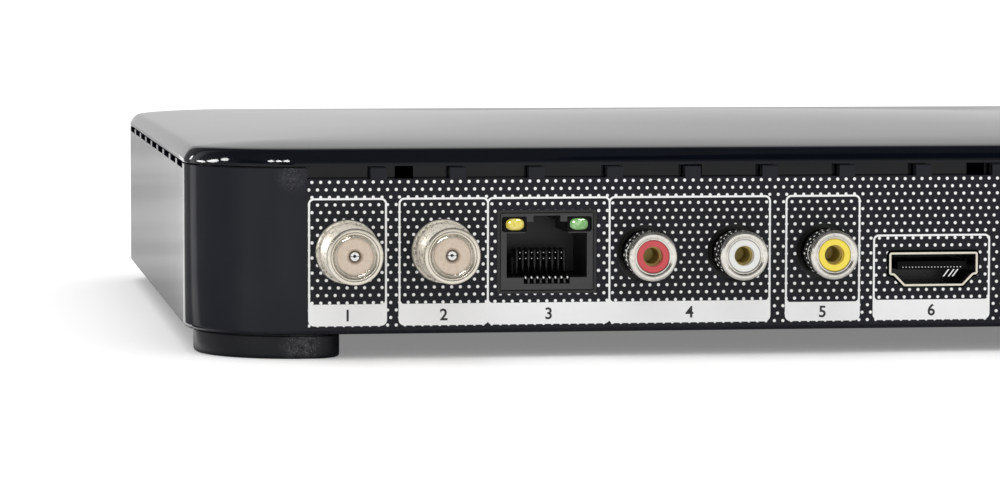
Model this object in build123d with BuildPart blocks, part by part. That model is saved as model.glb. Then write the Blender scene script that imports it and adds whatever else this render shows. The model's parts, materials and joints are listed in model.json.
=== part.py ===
from build123d import *
from math import asin, cos, degrees, radians, sin, tan
import os

# Satellite television receiver, in millimetres, standing on z = 0.
# x runs across the box. The front looks along -y and the sockets point along +y.

# Case
case_width = 223.0
case_depth = 190.0
corner_radius = 19.0
foot_height = 4.2
wall_height = 28.2  # from the underside of the floor to the underside of the cover
wall_thickness = 2.2
floor_thickness = 2.0
bottom_edge_round = 0.8
cover_seam = 0.25  # shadow gap between wall and cover

# Air slots in the top edge of the walls
rear_vent_height = 2.1
side_vent_height = 1.2
rear_vent_pitch = 13.35
rear_vent_tab = 2.7
side_vent_pitch = 17.0
side_vent_tab = 4.2
floor_slot_width = 2.4
floor_slot_length = 26.0
floor_slot_pitch = 6.0
floor_slot_count = 12
floor_slot_y = -62.0  # from the middle of the case

# Cover
cover_rise = 5.5  # from its lower edge to the top of its crown
crown_drop_across = 0.8
crown_drop_along = 2.1
cover_edge_round = 2.2
cover_thickness = 1.7
skirt_setback = 0.8  # from the inside of the wall
skirt_thickness = 1.6
skirt_depth = 4.4
skirt_notch_width = 4.0
skirt_notch_count = 4
skirt_notch_shift = 1.6
skirt_notch_end = 17.5  # from the end of the flat rear to the last notch

# Case screws, bosses and the posts under the cover
screw_radius = 1.45
screw_clearance = 0.05
screw_head_radius = 2.8
screw_head_height = 1.6
boss_radius = 4.0
boss_height = 14.0
post_radius = 3.6
case_screw_length = 24.0
screw_hole_radius = 1.7
screw_recess_radius = 3.2
screw_recess_depth = 2.2
screw_end_gap = 0.4
screw_slot_width = 0.55
screw_slot_length = 2.8
screw_slot_depth = 0.9

# Feet
foot_inset = 1.8
front_foot_inset = 2.6  # of the front feet from the front
front_foot_side_inset = 11.7
foot_span = 23.6
foot_corner_round = 5.0
foot_edge_round = 0.6
foot_groove_height = 0.4
foot_groove_depth = 0.5

# Boards
board_standoff = 3.6
board_thickness = 1.6
board_side_gap = 16.3
board_wall_gap = 0.5
main_board_depth = 116.0
board_boss_radius = 3.2
board_boss_inset = 6.5  # of the screws from the board's sides
board_boss_front = 8.0  # of the front screws from the board's front edge
board_boss_spacing = 56.0
board_screw_length = 4.8
board_hole_radius = 1.6
board_notch_gap = 1.0  # around the switch

# Rear label
label_thickness = 0.15
label_side_gap = 0.45  # from the start of the corner rounding
label_bottom_gap = 0.8
label_top_gap = 0.1
opening_margin = 0.15

# Places along the rear, as shares of the way from the middle to the end of its flat part
loop_place = 0.92378
lnb_place = 0.74919
ethernet_place = 0.55838
audio_right_place = 0.37784
audio_left_place = 0.20973
video_place = 0.0427
hdmi_place = -0.1627
digital_place = -0.38162
usb_place = -0.57622
jack_place = -0.75892
switch_place = -0.91135

# Threaded coaxial sockets
coax_height = 6.7  # of the axis above the board
coax_reach = 12.0  # out of the label
coax_collar_radius = 5.3
coax_collar_proud = 1.6
coax_thread_radius = 4.72
coax_tip_chamfer = 0.35
coax_bore_radius = 3.3
coax_groove_radius = 3.9
coax_groove_width = 0.3
coax_groove_depth = 0.3
coax_insulator_recess = 0.35
coax_pin_hole_radius = 1.1
coax_pin_recess = 0.9
coax_pin_bore_radius = 0.5
coax_pin_bore_depth = 10.6
coax_pin_slit = 0.25
coax_pin_slit_depth = 2.5
fit_gap = 0.02  # between pieces pushed into each other
tuner_side = 7.4
tuner_depth = 44.0
tuner_height = 13.4
tuner_skin = 0.6

# Network socket
ethernet_width = 15.74
ethernet_height = 12.9
ethernet_depth = 21.0
ethernet_recess = 0.3  # of its face behind the label
ethernet_opening_margin = 0.65
ethernet_mouth_width = 13.7
ethernet_mouth_bottom = 2.05
ethernet_mouth_top = 9.55
ethernet_mouth_depth = 14.0
ethernet_step_width = 7.4
ethernet_step_top = 11.45
ethernet_latch_width = 4.6
ethernet_latch_top = 12.5
ethernet_slot_width = 7.9
ethernet_slot_bottom = 1.0
ethernet_slot_depth = 4.5
ethernet_comb_width = 9.4
ethernet_comb_height = 5.0
ethernet_comb_depth = 5.0
contact_count = 8
contact_pitch = 1.02
contact_width = 0.46
contact_thickness = 0.35
contact_inset = 0.9  # behind the face of the socket
contact_foot = 0.8  # flat stretch that lies on the housing
contact_drop = 0.8  # below the top of the comb
led_width = 3.2
led_height = 2.2
led_depth = 4.0
led_side = 0.25  # from the side of the housing
led_bottom = 9.95
led_proud = 0.15
led_round = 0.3

# Phono sockets
rca_height = 6.0
rca_reach = 8.0
rca_barrel_radius = 4.17
rca_opening_margin = 0.7
rca_lip_round = 0.7
rca_insert_radius = 2.72
rca_insert_recess = 0.25
rca_hole_radius = 1.7
rca_hole_depth = 1.6
rca_contact_radius = 1.9
rca_contact_thickness = 0.28
rca_contact_depth = 6.0
rca_block_side = 5.3
rca_block_height = 12.2
rca_block_depth = 12.0

# Television socket
hdmi_width = 15.5
hdmi_height = 5.8
hdmi_shoulder = 1.9  # of the full width above the bottom
hdmi_ledge = 0.75
hdmi_foot_width = 10.3
hdmi_corner_round = 0.45
hdmi_skin = 0.36
hdmi_depth = 11.0
hdmi_proud = 0.3
hdmi_tongue_width = 12.0
hdmi_tongue_thickness = 1.4
hdmi_tongue_height = 2.75
hdmi_tongue_recess = 1.3
hdmi_opening_margin = 0.35

# Data socket
usb_width = 13.1
usb_height = 5.7
usb_skin = 0.36
usb_depth = 14.0
usb_proud = 0.3
usb_tongue_width = 11.0
usb_tongue_thickness = 1.9
usb_tongue_height = 2.9
usb_tongue_recess = 1.5
shell_back = 0.6  # closed rear end of the stamped shells

# Direct current inlet
jack_width = 9.0
jack_height = 11.0
jack_depth = 14.0
jack_collar_radius = 4.1
jack_bore_radius = 3.2
jack_bore_depth = 9.5
jack_pin_radius = 1.0
jack_pin_length = 9.0
jack_proud = 0.2

# Rocker switch
switch_z = 17.6
bezel_width = 10.6
bezel_height = 15.4
bezel_proud = 1.3
bezel_round = 0.8
switch_body_width = 9.6
switch_body_height = 14.4
switch_body_depth = 13.0
switch_window_width = 7.9
switch_window_height = 13.6
rocker_gap = 0.2
rocker_face = 3.0  # of the middle of its face in front of the pivot
rocker_tail = 2.2  # behind the pivot
rocker_pivot_depth = 1.0  # behind the label
rocker_angle = 9.0
rocker_pin_radius = 0.8
rocker_pin_length = 0.6
running_gap = 0.04
switch_well_depth = 3.7  # behind the pivot

# Front panel
panel_side_gap = 4.5  # from the start of the corner rounding
panel_height = 21.4
panel_corner_round = 4.0
panel_thickness = 1.6
panel_proud = 0.2
panel_gap = 0.1
window_place = -0.22727  # as a share of the way to the panel's end
window_width = 60.0
window_height = 15.0
window_corner_round = 1.5
window_ledge = 1.6
display_margin = 2.0  # from the sides of the opening behind the window
display_height = 10.6
display_gap = 0.1  # behind the window
ir_radius = 2.3
ir_inset = 5.4  # of its axis from the side of the opening
standby_place = 0.27273
standby_radius = 1.3
power_place = 0.84091
power_radius = 4.8
channel_down_place = 0.43182
channel_up_place = 0.61364
channel_width = 11.0
channel_height = 6.0
button_proud = 0.6
button_travel = 0.6
button_gap = 0.25
button_lip = 1.0
button_lip_thickness = 0.7
button_rest_gap = 0.05
button_stop_gap = 0.05  # left in front of the plunger when a button is pressed
button_edge_round = 0.45
tact_side = 6.0
tact_height = 3.3
tact_plunger_radius = 1.75
tact_plunger_height = 1.1
front_board_inset = 5.0  # of its ends from the ends of the panel
front_board_height = 17.4
front_post_radius = 3.0
front_post_rise = 5.0  # above the middle of the panel

# On the main board
chip_side = 22.0
chip_height = 1.6
chip_x = -6.0
chip_y = 20.0
sink_side = 32.0
sink_base = 2.0
sink_height = 9.0
sink_fin = 1.2
sink_fin_count = 8
capacitor_radius = 4.0
capacitor_height = 11.0
capacitor_pitch = 11.0
capacitor_count = 4
capacitor_inset = 15.0  # from the board's side
capacitor_y = 40.0
coil_side = 7.0
coil_height = 4.5
coil_pitch = 12.0
coil_count = 3
coil_inset = 41.0  # from the board's side
coil_y = 44.0
ribbon_x = -30.0
ribbon_width = 16.0
ribbon_thickness = 0.6
ribbon_bend = 3.0
ribbon_rise = 10.0  # above the header on the main board
ribbon_reach = 8.0  # behind the header on the front board
header_width = 20.0
header_height = 5.0
header_depth = 6.0
header_inset = 10.0  # from the front edge of the main board

# Heights and faces that follow
floor_top = foot_height + floor_thickness
cover_bottom = foot_height + wall_height
wall_top = cover_bottom - cover_seam
board_bottom = floor_top + board_standoff
board_top = board_bottom + board_thickness
boss_top = floor_top + boss_height
coax_z = board_top + coax_height
rca_z = board_top + rca_height
front_reach = panel_proud + button_proud
rear_face = (case_depth + front_reach - label_thickness - coax_reach) / 2
front_face = rear_face - case_depth
case_y = (rear_face + front_face) / 2
label_face = rear_face + label_thickness
rear_inside = rear_face - wall_thickness
front_inside = front_face + wall_thickness
socket_seat = rear_inside - board_wall_gap  # the rear sockets' blocks stand here
flat_width = case_width - 2 * corner_radius
flat_depth = case_depth - 2 * corner_radius
vent_bottom = cover_bottom - rear_vent_height
loop_x = loop_place * flat_width / 2
lnb_x = lnb_place * flat_width / 2
ethernet_x = ethernet_place * flat_width / 2
audio_right_x = audio_right_place * flat_width / 2
audio_left_x = audio_left_place * flat_width / 2
video_x = video_place * flat_width / 2
hdmi_x = hdmi_place * flat_width / 2
digital_x = digital_place * flat_width / 2
usb_x = usb_place * flat_width / 2
jack_x = jack_place * flat_width / 2
switch_x = switch_place * flat_width / 2
rear_foot_x = case_width / 2 - foot_inset - foot_span / 2
front_foot_x = case_width / 2 - front_foot_side_inset - foot_span / 2
rear_foot_y = rear_face - foot_inset - foot_span / 2
front_foot_y = front_face + front_foot_inset + foot_span / 2
case_screw_spots = [
    (side * x, y) for side in (1, -1) for x, y in ((rear_foot_x, rear_foot_y), (front_foot_x, front_foot_y))
]
board_width = case_width - 2 * (wall_thickness + board_side_gap)
capacitor_x = capacitor_inset - board_width / 2
coil_x = coil_inset - board_width / 2
board_rear = socket_seat
board_front = board_rear - main_board_depth
board_screw_x = board_width / 2 - board_boss_inset
board_screw_y = board_front + board_boss_front
board_screw_spots = [
    (sx * board_screw_x, y) for sx in (1, -1) for y in (board_screw_y, board_screw_y + board_boss_spacing)
]
panel_z = (foot_height + cover_bottom) / 2
panel_width = flat_width - 2 * panel_side_gap
window_x = window_place * panel_width / 2
standby_x = standby_place * panel_width / 2
channel_down_x = channel_down_place * panel_width / 2
channel_up_x = channel_up_place * panel_width / 2
power_x = power_place * panel_width / 2
front_post_x = (channel_up_x + channel_width / 2 + power_x - power_radius) / 2
panel_face = front_face - panel_proud
lens_back = panel_face + panel_thickness
lip_face = front_inside + button_rest_gap  # front of the buttons' lips
plunger_tip = lip_face + button_lip_thickness + button_travel + button_stop_gap
front_board_face = plunger_tip + tact_plunger_height + tact_height
front_board_back = front_board_face + board_thickness
front_board_width = panel_width - 2 * front_board_inset
window_side = window_width / 2 - window_ledge  # of the opening behind the window
ir_x = window_x + window_side - ir_inset
display_left = window_x - window_side + display_margin
display_right = ir_x - ir_radius - display_margin
ethernet_face = label_face - ethernet_recess
switch_pivot_y = label_face - rocker_pivot_depth
header_y = board_front + header_inset
front_post_spots = [(sx * front_post_x, panel_z + front_post_rise) for sx in (1, -1)]
cover_top = cover_bottom + cover_rise
skirt_inset = wall_thickness + skirt_setback
skirt_notch_pitch = (flat_width - 2 * skirt_notch_end) / (skirt_notch_count - 1)


def at_y(y):
    """Upright plane at y, drawn on in x and z. Its normal is -y."""
    return Plane.XZ.offset(-y)


def socket_axis(x, z):
    return Axis((x, 0, z), (0, 1, 0))


def block(x, z, width, height, rear, depth, mode=Mode.ADD):
    """A box centred on x and standing on z, from its rear face forwards."""
    with BuildSketch(at_y(rear)) as face:
        with Locations((x, z + height / 2)):
            Rectangle(width, height)
    extrude(face.sketch, amount=depth, mode=mode)


def rod(x, z, radius, rear, depth, mode=Mode.ADD):
    """A bar about a socket's axis, or a bore, from its rear end forwards."""
    with BuildSketch(at_y(rear)) as face:
        with Locations((x, z)):
            Circle(radius)
    extrude(face.sketch, amount=depth, mode=mode)


def column(spots, radius, bottom, height, mode=Mode.ADD):
    """Upright cylinders at the given spots."""
    with BuildSketch(Plane.XY.offset(bottom)) as face:
        with Locations(*spots):
            Circle(radius)
    extrude(face.sketch, amount=height, mode=mode)


def turned(x, z, profile):
    """A turned piece about a socket's axis, from its (y, radius) outline."""
    with BuildSketch(Plane(origin=(x, 0, z), x_dir=(0, 1, 0), z_dir=(1, 0, 0))) as section:
        with BuildLine():
            Polyline(*profile, close=True)
        make_face()
    revolve(section.sketch, axis=socket_axis(x, z))


def vent_count(length, pitch, tab):
    return int((length + tab) / pitch)


# Outlines, each called inside a sketch


def plan_outline(inset, mode=Mode.ADD):
    """The case seen from above, moved inwards by inset."""
    with Locations((0, case_y)):
        RectangleRounded(case_width - 2 * inset, case_depth - 2 * inset, corner_radius - inset, mode=mode)


def foot_outline(x, y):
    """A square foot whose outer corner follows the corner of the case."""
    with Locations((x, y)):
        RectangleRounded(foot_span, foot_span, foot_corner_round)
    plan_outline(foot_inset, Mode.INTERSECT)


def hdmi_points():
    half, foot = hdmi_width / 2, hdmi_foot_width / 2
    ledge = half - hdmi_ledge
    right = [(half, hdmi_height), (half, hdmi_shoulder), (ledge, hdmi_shoulder), (foot, 0)]
    return right + [(-x, z) for x, z in reversed(right)]


def hdmi_outline(grow):
    """The television socket's outline about the middle of its lower edge, grown outwards."""
    with BuildSketch() as outline:
        with BuildLine():
            Polyline(*hdmi_points(), close=True)
        make_face()
        fillet(outline.vertices(), hdmi_corner_round)
        if grow != 0:
            offset(amount=grow)
    return outline.sketch


def rear_openings():
    """Every opening in the rear wall and label."""
    with Locations((loop_x, coax_z), (lnb_x, coax_z)):
        Circle(coax_collar_radius + opening_margin)
    with Locations(*[(x, rca_z) for x in (audio_right_x, audio_left_x, video_x, digital_x)]):
        Circle(rca_barrel_radius + rca_opening_margin)
    with Locations((ethernet_x, board_top + ethernet_height / 2)):
        Rectangle(ethernet_width + 2 * ethernet_opening_margin, ethernet_height + 2 * ethernet_opening_margin)
    hdmi_opening = hdmi_outline(hdmi_opening_margin)
    with Locations((hdmi_x, board_top)):
        add(hdmi_opening)
    with Locations((usb_x, board_top + usb_height / 2)):
        Rectangle(usb_width + 2 * opening_margin, usb_height + 2 * opening_margin)
    with Locations((jack_x, board_top + jack_height / 2)):
        Circle(jack_collar_radius + opening_margin)
    with Locations((switch_x, switch_z)):
        Rectangle(switch_body_width + 2 * opening_margin, switch_body_height + 2 * opening_margin)


def button_outline(name, grow):
    """A front button's outline, grown outwards."""
    if name == "power_button":
        with Locations((power_x, panel_z)):
            Circle(power_radius + grow)
    else:
        with Locations((buttons[name], panel_z)):
            SlotOverall(channel_width + 2 * grow, channel_height + 2 * grow)


def window_outline(inset):
    """The display window, moved inwards by inset."""
    with Locations((window_x, panel_z)):
        RectangleRounded(window_width - 2 * inset, window_height - 2 * inset, window_corner_round)


def front_controls():
    """Holes for the buttons and the standby light."""
    for button in buttons:
        button_outline(button, button_gap)
    with Locations((standby_x, panel_z)):
        Circle(standby_radius + fit_gap)


buttons = {"power_button": power_x, "channel_down_button": channel_down_x, "channel_up_button": channel_up_x}
pieces = {}


# Case

with BuildPart() as bottom_case:
    with BuildSketch(Plane.XY.offset(foot_height)):
        plan_outline(0)
    extrude(amount=wall_top - foot_height)
    fillet(bottom_case.faces().sort_by(Axis.Z)[0].edges(), bottom_edge_round)
    with BuildSketch(Plane.XY.offset(floor_top)):
        plan_outline(wall_thickness)
    extrude(amount=wall_height, mode=Mode.SUBTRACT)
    # Bosses for the case screws and for the board
    column(case_screw_spots, boss_radius, floor_top, boss_height)
    column(board_screw_spots, board_boss_radius, floor_top, board_standoff)
    column(case_screw_spots, screw_hole_radius, foot_height, floor_thickness + boss_height, Mode.SUBTRACT)
    board_screw_bite = board_screw_length - board_thickness
    column(
        board_screw_spots, screw_radius + screw_clearance, board_bottom - board_screw_bite, board_screw_bite,
        Mode.SUBTRACT,
    )
    # Air slots along the top of the rear and side walls
    rear_vents = vent_count(flat_width, rear_vent_pitch, rear_vent_tab)
    with BuildSketch(Plane.XY.offset(vent_bottom)):
        with Locations((0, rear_face)):
            with GridLocations(rear_vent_pitch, 1, rear_vents, 1):
                Rectangle(rear_vent_pitch - rear_vent_tab, 3 * wall_thickness)
    extrude(amount=rear_vent_height, mode=Mode.SUBTRACT)
    side_vents = vent_count(flat_depth, side_vent_pitch, side_vent_tab)
    with BuildSketch(Plane.XY.offset(cover_bottom - side_vent_height)):
        with Locations((-case_width / 2, case_y), (case_width / 2, case_y)):
            with GridLocations(1, side_vent_pitch, 1, side_vents):
                Rectangle(3 * wall_thickness, side_vent_pitch - side_vent_tab)
    extrude(amount=side_vent_height, mode=Mode.SUBTRACT)
    with BuildSketch(Plane.XY.offset(foot_height)):
        with Locations((0, case_y + floor_slot_y)):
            with GridLocations(floor_slot_pitch, 1, floor_slot_count, 1):
                SlotOverall(floor_slot_length, floor_slot_width, rotation=90)
    extrude(amount=floor_thickness, mode=Mode.SUBTRACT)
    # Socket openings
    with BuildSketch(at_y(rear_face)):
        rear_openings()
    extrude(amount=wall_thickness, mode=Mode.SUBTRACT)
    # Recess for the front panel, and what reaches through it
    with BuildSketch(at_y(front_face)):
        with Locations((0, panel_z)):
            RectangleRounded(
                panel_width + 2 * panel_gap, panel_height + 2 * panel_gap, panel_corner_round + panel_gap
            )
    extrude(amount=-(panel_thickness - panel_proud), mode=Mode.SUBTRACT)
    with BuildSketch(at_y(front_face)):
        window_outline(window_ledge)
        front_controls()
    extrude(amount=-wall_thickness, mode=Mode.SUBTRACT)
    # Posts that carry the front board
    for x, z in front_post_spots:
        rod(x, z, front_post_radius, front_board_face, front_board_face - front_inside)
        rod(x, z, screw_radius + screw_clearance, front_board_face, board_screw_bite, Mode.SUBTRACT)


# Cover


def crowned_block(inset, bottom, drop):
    """The cover's outline under its crowned surface, which is lowered by drop."""
    across_radius = ((case_width / 2) ** 2 + crown_drop_across**2) / (2 * crown_drop_across)
    half_turn = 1.2 * asin(case_width / 2 / across_radius)
    pivot = cover_top - drop - across_radius
    half_depth = case_depth / 2
    start = Plane(origin=(0, case_y, pivot), x_dir=(0, 1, 0), z_dir=(cos(half_turn), 0, sin(half_turn)))
    with BuildPart() as block:
        with BuildSketch(Plane.XY.offset(bottom)):
            plan_outline(inset)
        extrude(amount=cover_top - bottom)
        with BuildSketch(start):
            with BuildLine():
                ThreePointArc(
                    (-half_depth, across_radius - crown_drop_along),
                    (0, across_radius),
                    (half_depth, across_radius - crown_drop_along),
                )
                Polyline(
                    (half_depth, across_radius - crown_drop_along),
                    (half_depth, bottom - pivot - 2 * cover_rise),
                    (-half_depth, bottom - pivot - 2 * cover_rise),
                    (-half_depth, across_radius - crown_drop_along),
                )
            make_face()
        revolve(
            axis=Axis((0, 0, pivot), (0, 1, 0)),
            revolution_arc=degrees(2 * half_turn),
            mode=Mode.INTERSECT,
        )
    return block.part


with BuildPart() as top_cover:
    add(crowned_block(0, cover_bottom, 0))
    fillet(top_cover.faces().sort_by(Axis.Z)[-1].edges(), cover_edge_round)
    with BuildSketch(Plane.XY.offset(cover_bottom)):
        plan_outline(skirt_inset)
    extrude(amount=-skirt_depth)
    hollow = crowned_block(skirt_inset + skirt_thickness, cover_bottom - skirt_depth, cover_thickness)
    add(hollow, mode=Mode.SUBTRACT)
    # The posts end inside the thickness of the lid
    post_top = cover_top - crown_drop_across - crown_drop_along
    column(case_screw_spots, post_radius, boss_top, post_top - boss_top)
    hole_depth = foot_height + case_screw_length - boss_top
    column(case_screw_spots, screw_radius + screw_clearance, boss_top, hole_depth, Mode.SUBTRACT)
    # Notches in the rear of the skirt
    with BuildSketch(Plane.XY.offset(cover_bottom)):
        with Locations((skirt_notch_shift, rear_face - skirt_inset - skirt_thickness / 2)):
            with GridLocations(skirt_notch_pitch, 1, skirt_notch_count, 1):
                Rectangle(skirt_notch_width, 2 * skirt_thickness)
    extrude(amount=-skirt_depth, mode=Mode.SUBTRACT)

pieces.update(bottom_case=bottom_case, top_cover=top_cover)


# Rear label

with BuildPart() as rear_label:
    label_bottom = foot_height + label_bottom_gap
    label_width = flat_width - 2 * label_side_gap
    label_height = vent_bottom - label_top_gap - label_bottom
    block(0, label_bottom, label_width, label_height, label_face, label_thickness)
    with BuildSketch(at_y(label_face)):
        rear_openings()
    extrude(amount=label_thickness, mode=Mode.SUBTRACT)

pieces["rear_label"] = rear_label


# Feet and screws

for (x, y), name in zip(case_screw_spots, ("rear_right", "front_right", "rear_left", "front_left")):
    with BuildPart() as foot:
        with BuildSketch():
            foot_outline(x, y)
        extrude(amount=foot_height - foot_groove_height)
        fillet(foot.faces().sort_by(Axis.Z)[0].edges(), foot_edge_round)
        with BuildSketch(Plane.XY.offset(foot_height - foot_groove_height)):
            foot_outline(x, y)
            offset(amount=-foot_groove_depth)
        extrude(amount=foot_groove_height)
        with Locations(Location((x, y, 0), (180, 0, 0))):
            CounterBoreHole(screw_hole_radius, screw_recess_radius, screw_recess_depth, foot_height)
    pieces[f"foot_{name}"] = foot

with BuildPart() as case_screws:
    column(case_screw_spots, screw_head_radius, screw_recess_depth - screw_head_height, screw_head_height)
    fillet(case_screws.edges().group_by(Axis.Z)[0], screw_head_height / 4)
    shank_end = foot_height + case_screw_length - screw_end_gap
    column(case_screw_spots, screw_radius, screw_recess_depth, shank_end - screw_recess_depth)
    with BuildSketch(Plane.XY.offset(screw_recess_depth - screw_head_height)):
        with Locations(*case_screw_spots):
            Rectangle(screw_slot_length, screw_slot_width)
            Rectangle(screw_slot_width, screw_slot_length)
    extrude(amount=screw_slot_depth, mode=Mode.SUBTRACT)

with BuildPart() as board_screws:
    column(board_screw_spots, screw_head_radius, board_top, screw_head_height)
    column(board_screw_spots, screw_radius, board_top, -(board_screw_length - screw_end_gap))
    for x, z in front_post_spots:
        rod(x, z, screw_head_radius, front_board_back + screw_head_height, screw_head_height)
        rod(x, z, screw_radius, front_board_back, board_screw_length - screw_end_gap)

pieces.update(case_screws=case_screws, board_screws=board_screws)


# Main board and what stands on it

with BuildPart() as main_board:
    with BuildSketch(Plane.XY.offset(board_bottom)):
        with Locations((0, board_rear)):
            Rectangle(board_width, main_board_depth, align=(Align.CENTER, Align.MAX))
            notch_edge = switch_x + switch_body_width / 2 + board_notch_gap
            notch_depth = board_rear - label_face + switch_body_depth + board_notch_gap
            with Locations((-board_width / 2, 0)):
                notch_corner = (Align.MIN, Align.MAX)
                Rectangle(board_width / 2 + notch_edge, notch_depth, align=notch_corner, mode=Mode.SUBTRACT)
        with Locations(*board_screw_spots):
            Circle(board_hole_radius, mode=Mode.SUBTRACT)
    extrude(amount=board_thickness)

with BuildPart() as main_chip:
    block(chip_x, board_top, chip_side, chip_height, chip_y + chip_side / 2, chip_side)
    chamfer(main_chip.faces().sort_by(Axis.Z)[-1].edges(), chip_height / 6)

with BuildPart() as heat_sink:
    sink_bottom = board_top + chip_height
    block(chip_x, sink_bottom, sink_side, sink_base, chip_y + sink_side / 2, sink_side)
    with BuildSketch(Plane.XY.offset(sink_bottom + sink_base)):
        with Locations((chip_x, chip_y)):
            with GridLocations((sink_side - sink_fin) / (sink_fin_count - 1), 1, sink_fin_count, 1):
                Rectangle(sink_fin, sink_side)
    extrude(amount=sink_height - sink_base)

with BuildPart() as capacitors:
    rows = [(i - (capacitor_count - 1) / 2) * capacitor_pitch for i in range(capacitor_count)]
    column([(capacitor_x, capacitor_y + row) for row in rows], capacitor_radius, board_top, capacitor_height)
    fillet(capacitors.edges().group_by(Axis.Z)[-1], capacitor_radius / 8)

with BuildPart() as coils:
    with BuildSketch(Plane.XY.offset(board_top)):
        with Locations((coil_x, coil_y)):
            with GridLocations(1, coil_pitch, 1, coil_count):
                RectangleRounded(coil_side, coil_side, coil_side / 5)
    extrude(amount=coil_height)

with BuildPart() as tuner_can:
    can_x = (loop_x + lnb_x) / 2
    can_width = loop_x - lnb_x + 2 * tuner_side
    block(can_x, board_top, can_width, tuner_height, socket_seat, tuner_depth)
    fillet(tuner_can.edges().filter_by(Axis.Z), tuner_skin)
    block(
        can_x, board_top, can_width - 2 * tuner_skin, tuner_height - tuner_skin, socket_seat - tuner_skin,
        tuner_depth - 2 * tuner_skin, Mode.SUBTRACT,
    )

pieces.update(main_board=main_board, main_chip=main_chip, heat_sink=heat_sink)
pieces.update(capacitors=capacitors, coils=coils, tuner_can=tuner_can)


# Threaded coaxial sockets

for name, x in {"loop": loop_x, "lnb": lnb_x}.items():
    tip = label_face + coax_reach
    with BuildPart() as barrel:
        collar_end = label_face + coax_collar_proud
        groove_outside = coax_groove_radius + coax_groove_width / 2
        groove_inside = coax_groove_radius - coax_groove_width / 2
        turned(
            x,
            coax_z,
            [
                (socket_seat, coax_bore_radius),
                (socket_seat, coax_collar_radius),
                (collar_end, coax_collar_radius),
                (collar_end, coax_thread_radius),
                (tip - coax_tip_chamfer, coax_thread_radius),
                (tip, coax_thread_radius - coax_tip_chamfer),
                (tip, groove_outside),
                (tip - coax_groove_depth, groove_outside),
                (tip - coax_groove_depth, groove_inside),
                (tip, groove_inside),
                (tip, coax_bore_radius),
            ],
        )
    insulator_face = tip - coax_insulator_recess
    with BuildPart() as insulator:
        rod(x, coax_z, coax_bore_radius - fit_gap, insulator_face, insulator_face - socket_seat)
        rod(x, coax_z, coax_pin_hole_radius, insulator_face, insulator_face - socket_seat, Mode.SUBTRACT)
    contact_face = insulator_face - coax_pin_recess
    with BuildPart() as contact:
        rod(x, coax_z, coax_pin_hole_radius - fit_gap, contact_face, contact_face - socket_seat)
        rod(x, coax_z, coax_pin_bore_radius, contact_face, coax_pin_bore_depth, Mode.SUBTRACT)
        block(
            x, coax_z - coax_pin_slit / 2, 3 * coax_pin_hole_radius, coax_pin_slit, contact_face,
            coax_pin_slit_depth, Mode.SUBTRACT,
        )
    pieces.update({f"{name}_barrel": barrel, f"{name}_insulator": insulator, f"{name}_contact": contact})


# Network socket

with BuildPart() as ethernet_housing:
    block(ethernet_x, board_top, ethernet_width, ethernet_height, ethernet_face, ethernet_depth)
    # The mouth, its step and the slot for the plug's latch
    for width, top in (
        (ethernet_mouth_width, ethernet_mouth_top),
        (ethernet_step_width, ethernet_step_top),
        (ethernet_latch_width, ethernet_latch_top),
    ):
        height = top - ethernet_mouth_bottom
        sill = board_top + ethernet_mouth_bottom
        block(ethernet_x, sill, width, height, ethernet_face, ethernet_mouth_depth, Mode.SUBTRACT)
    slot_height = ethernet_mouth_top - ethernet_slot_bottom
    slot_floor = board_top + ethernet_slot_bottom
    block(
        ethernet_x, slot_floor, ethernet_slot_width, slot_height, ethernet_face, ethernet_slot_depth,
        Mode.SUBTRACT,
    )
    comb_face = ethernet_face - ethernet_mouth_depth + ethernet_comb_depth
    block(
        ethernet_x, board_top, ethernet_comb_width, ethernet_comb_height, comb_face, ethernet_comb_depth
    )
    # Windows for the two lights
    led_x = (ethernet_width - led_width) / 2 - led_side
    for x in (ethernet_x - led_x, ethernet_x + led_x):
        block(
            x, board_top + led_bottom - fit_gap, led_width + 2 * fit_gap, led_height + 2 * fit_gap,
            ethernet_face, led_depth, Mode.SUBTRACT,
        )

with BuildPart() as ethernet_contacts:
    foot_y_rear = ethernet_face - contact_inset
    foot_y_front = foot_y_rear - contact_foot
    contact_top = board_top + ethernet_comb_height - contact_drop
    for i in range(contact_count):
        x = ethernet_x + (i - (contact_count - 1) / 2) * contact_pitch
        with BuildSketch(Plane.YZ.offset(x - contact_width / 2)):
            with BuildLine():
                Polyline(
                    (foot_y_rear, slot_floor),
                    (foot_y_front, slot_floor),
                    (comb_face, contact_top),
                    (comb_face, contact_top + contact_thickness),
                    (foot_y_front, slot_floor + contact_thickness),
                    (foot_y_rear, slot_floor + contact_thickness),
                    close=True,
                )
            make_face()
        extrude(amount=contact_width)

for name, x in {"ethernet_led_yellow": ethernet_x + led_x, "ethernet_led_green": ethernet_x - led_x}.items():
    with BuildPart() as led:
        led_face = ethernet_face + led_proud
        block(x, board_top + led_bottom, led_width, led_height, led_face, led_depth + led_proud)
        fillet(led.edges().filter_by(Axis.Y), led_round)
    pieces[name] = led

pieces.update(ethernet_housing=ethernet_housing, ethernet_contacts=ethernet_contacts)


# Phono sockets

phono_sockets = {
    "audio_right": audio_right_x,
    "audio_left": audio_left_x,
    "video": video_x,
    "digital": digital_x,
}
phono_tip = label_face + rca_reach
insert_face = phono_tip - rca_insert_recess
contact_front = insert_face - rca_hole_depth


def phono_contact(x):
    """The tube that grips the middle pin of a plug."""
    rod(x, rca_z, rca_contact_radius - fit_gap, contact_front, rca_contact_depth)
    rod(x, rca_z, rca_contact_radius - rca_contact_thickness, contact_front, rca_contact_depth, Mode.SUBTRACT)


def phono_block(left, right):
    """The moulding behind the sockets from left to right."""
    width = right - left + 2 * rca_block_side
    block((left + right) / 2, board_top, width, rca_block_height, socket_seat, rca_block_depth)


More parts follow.
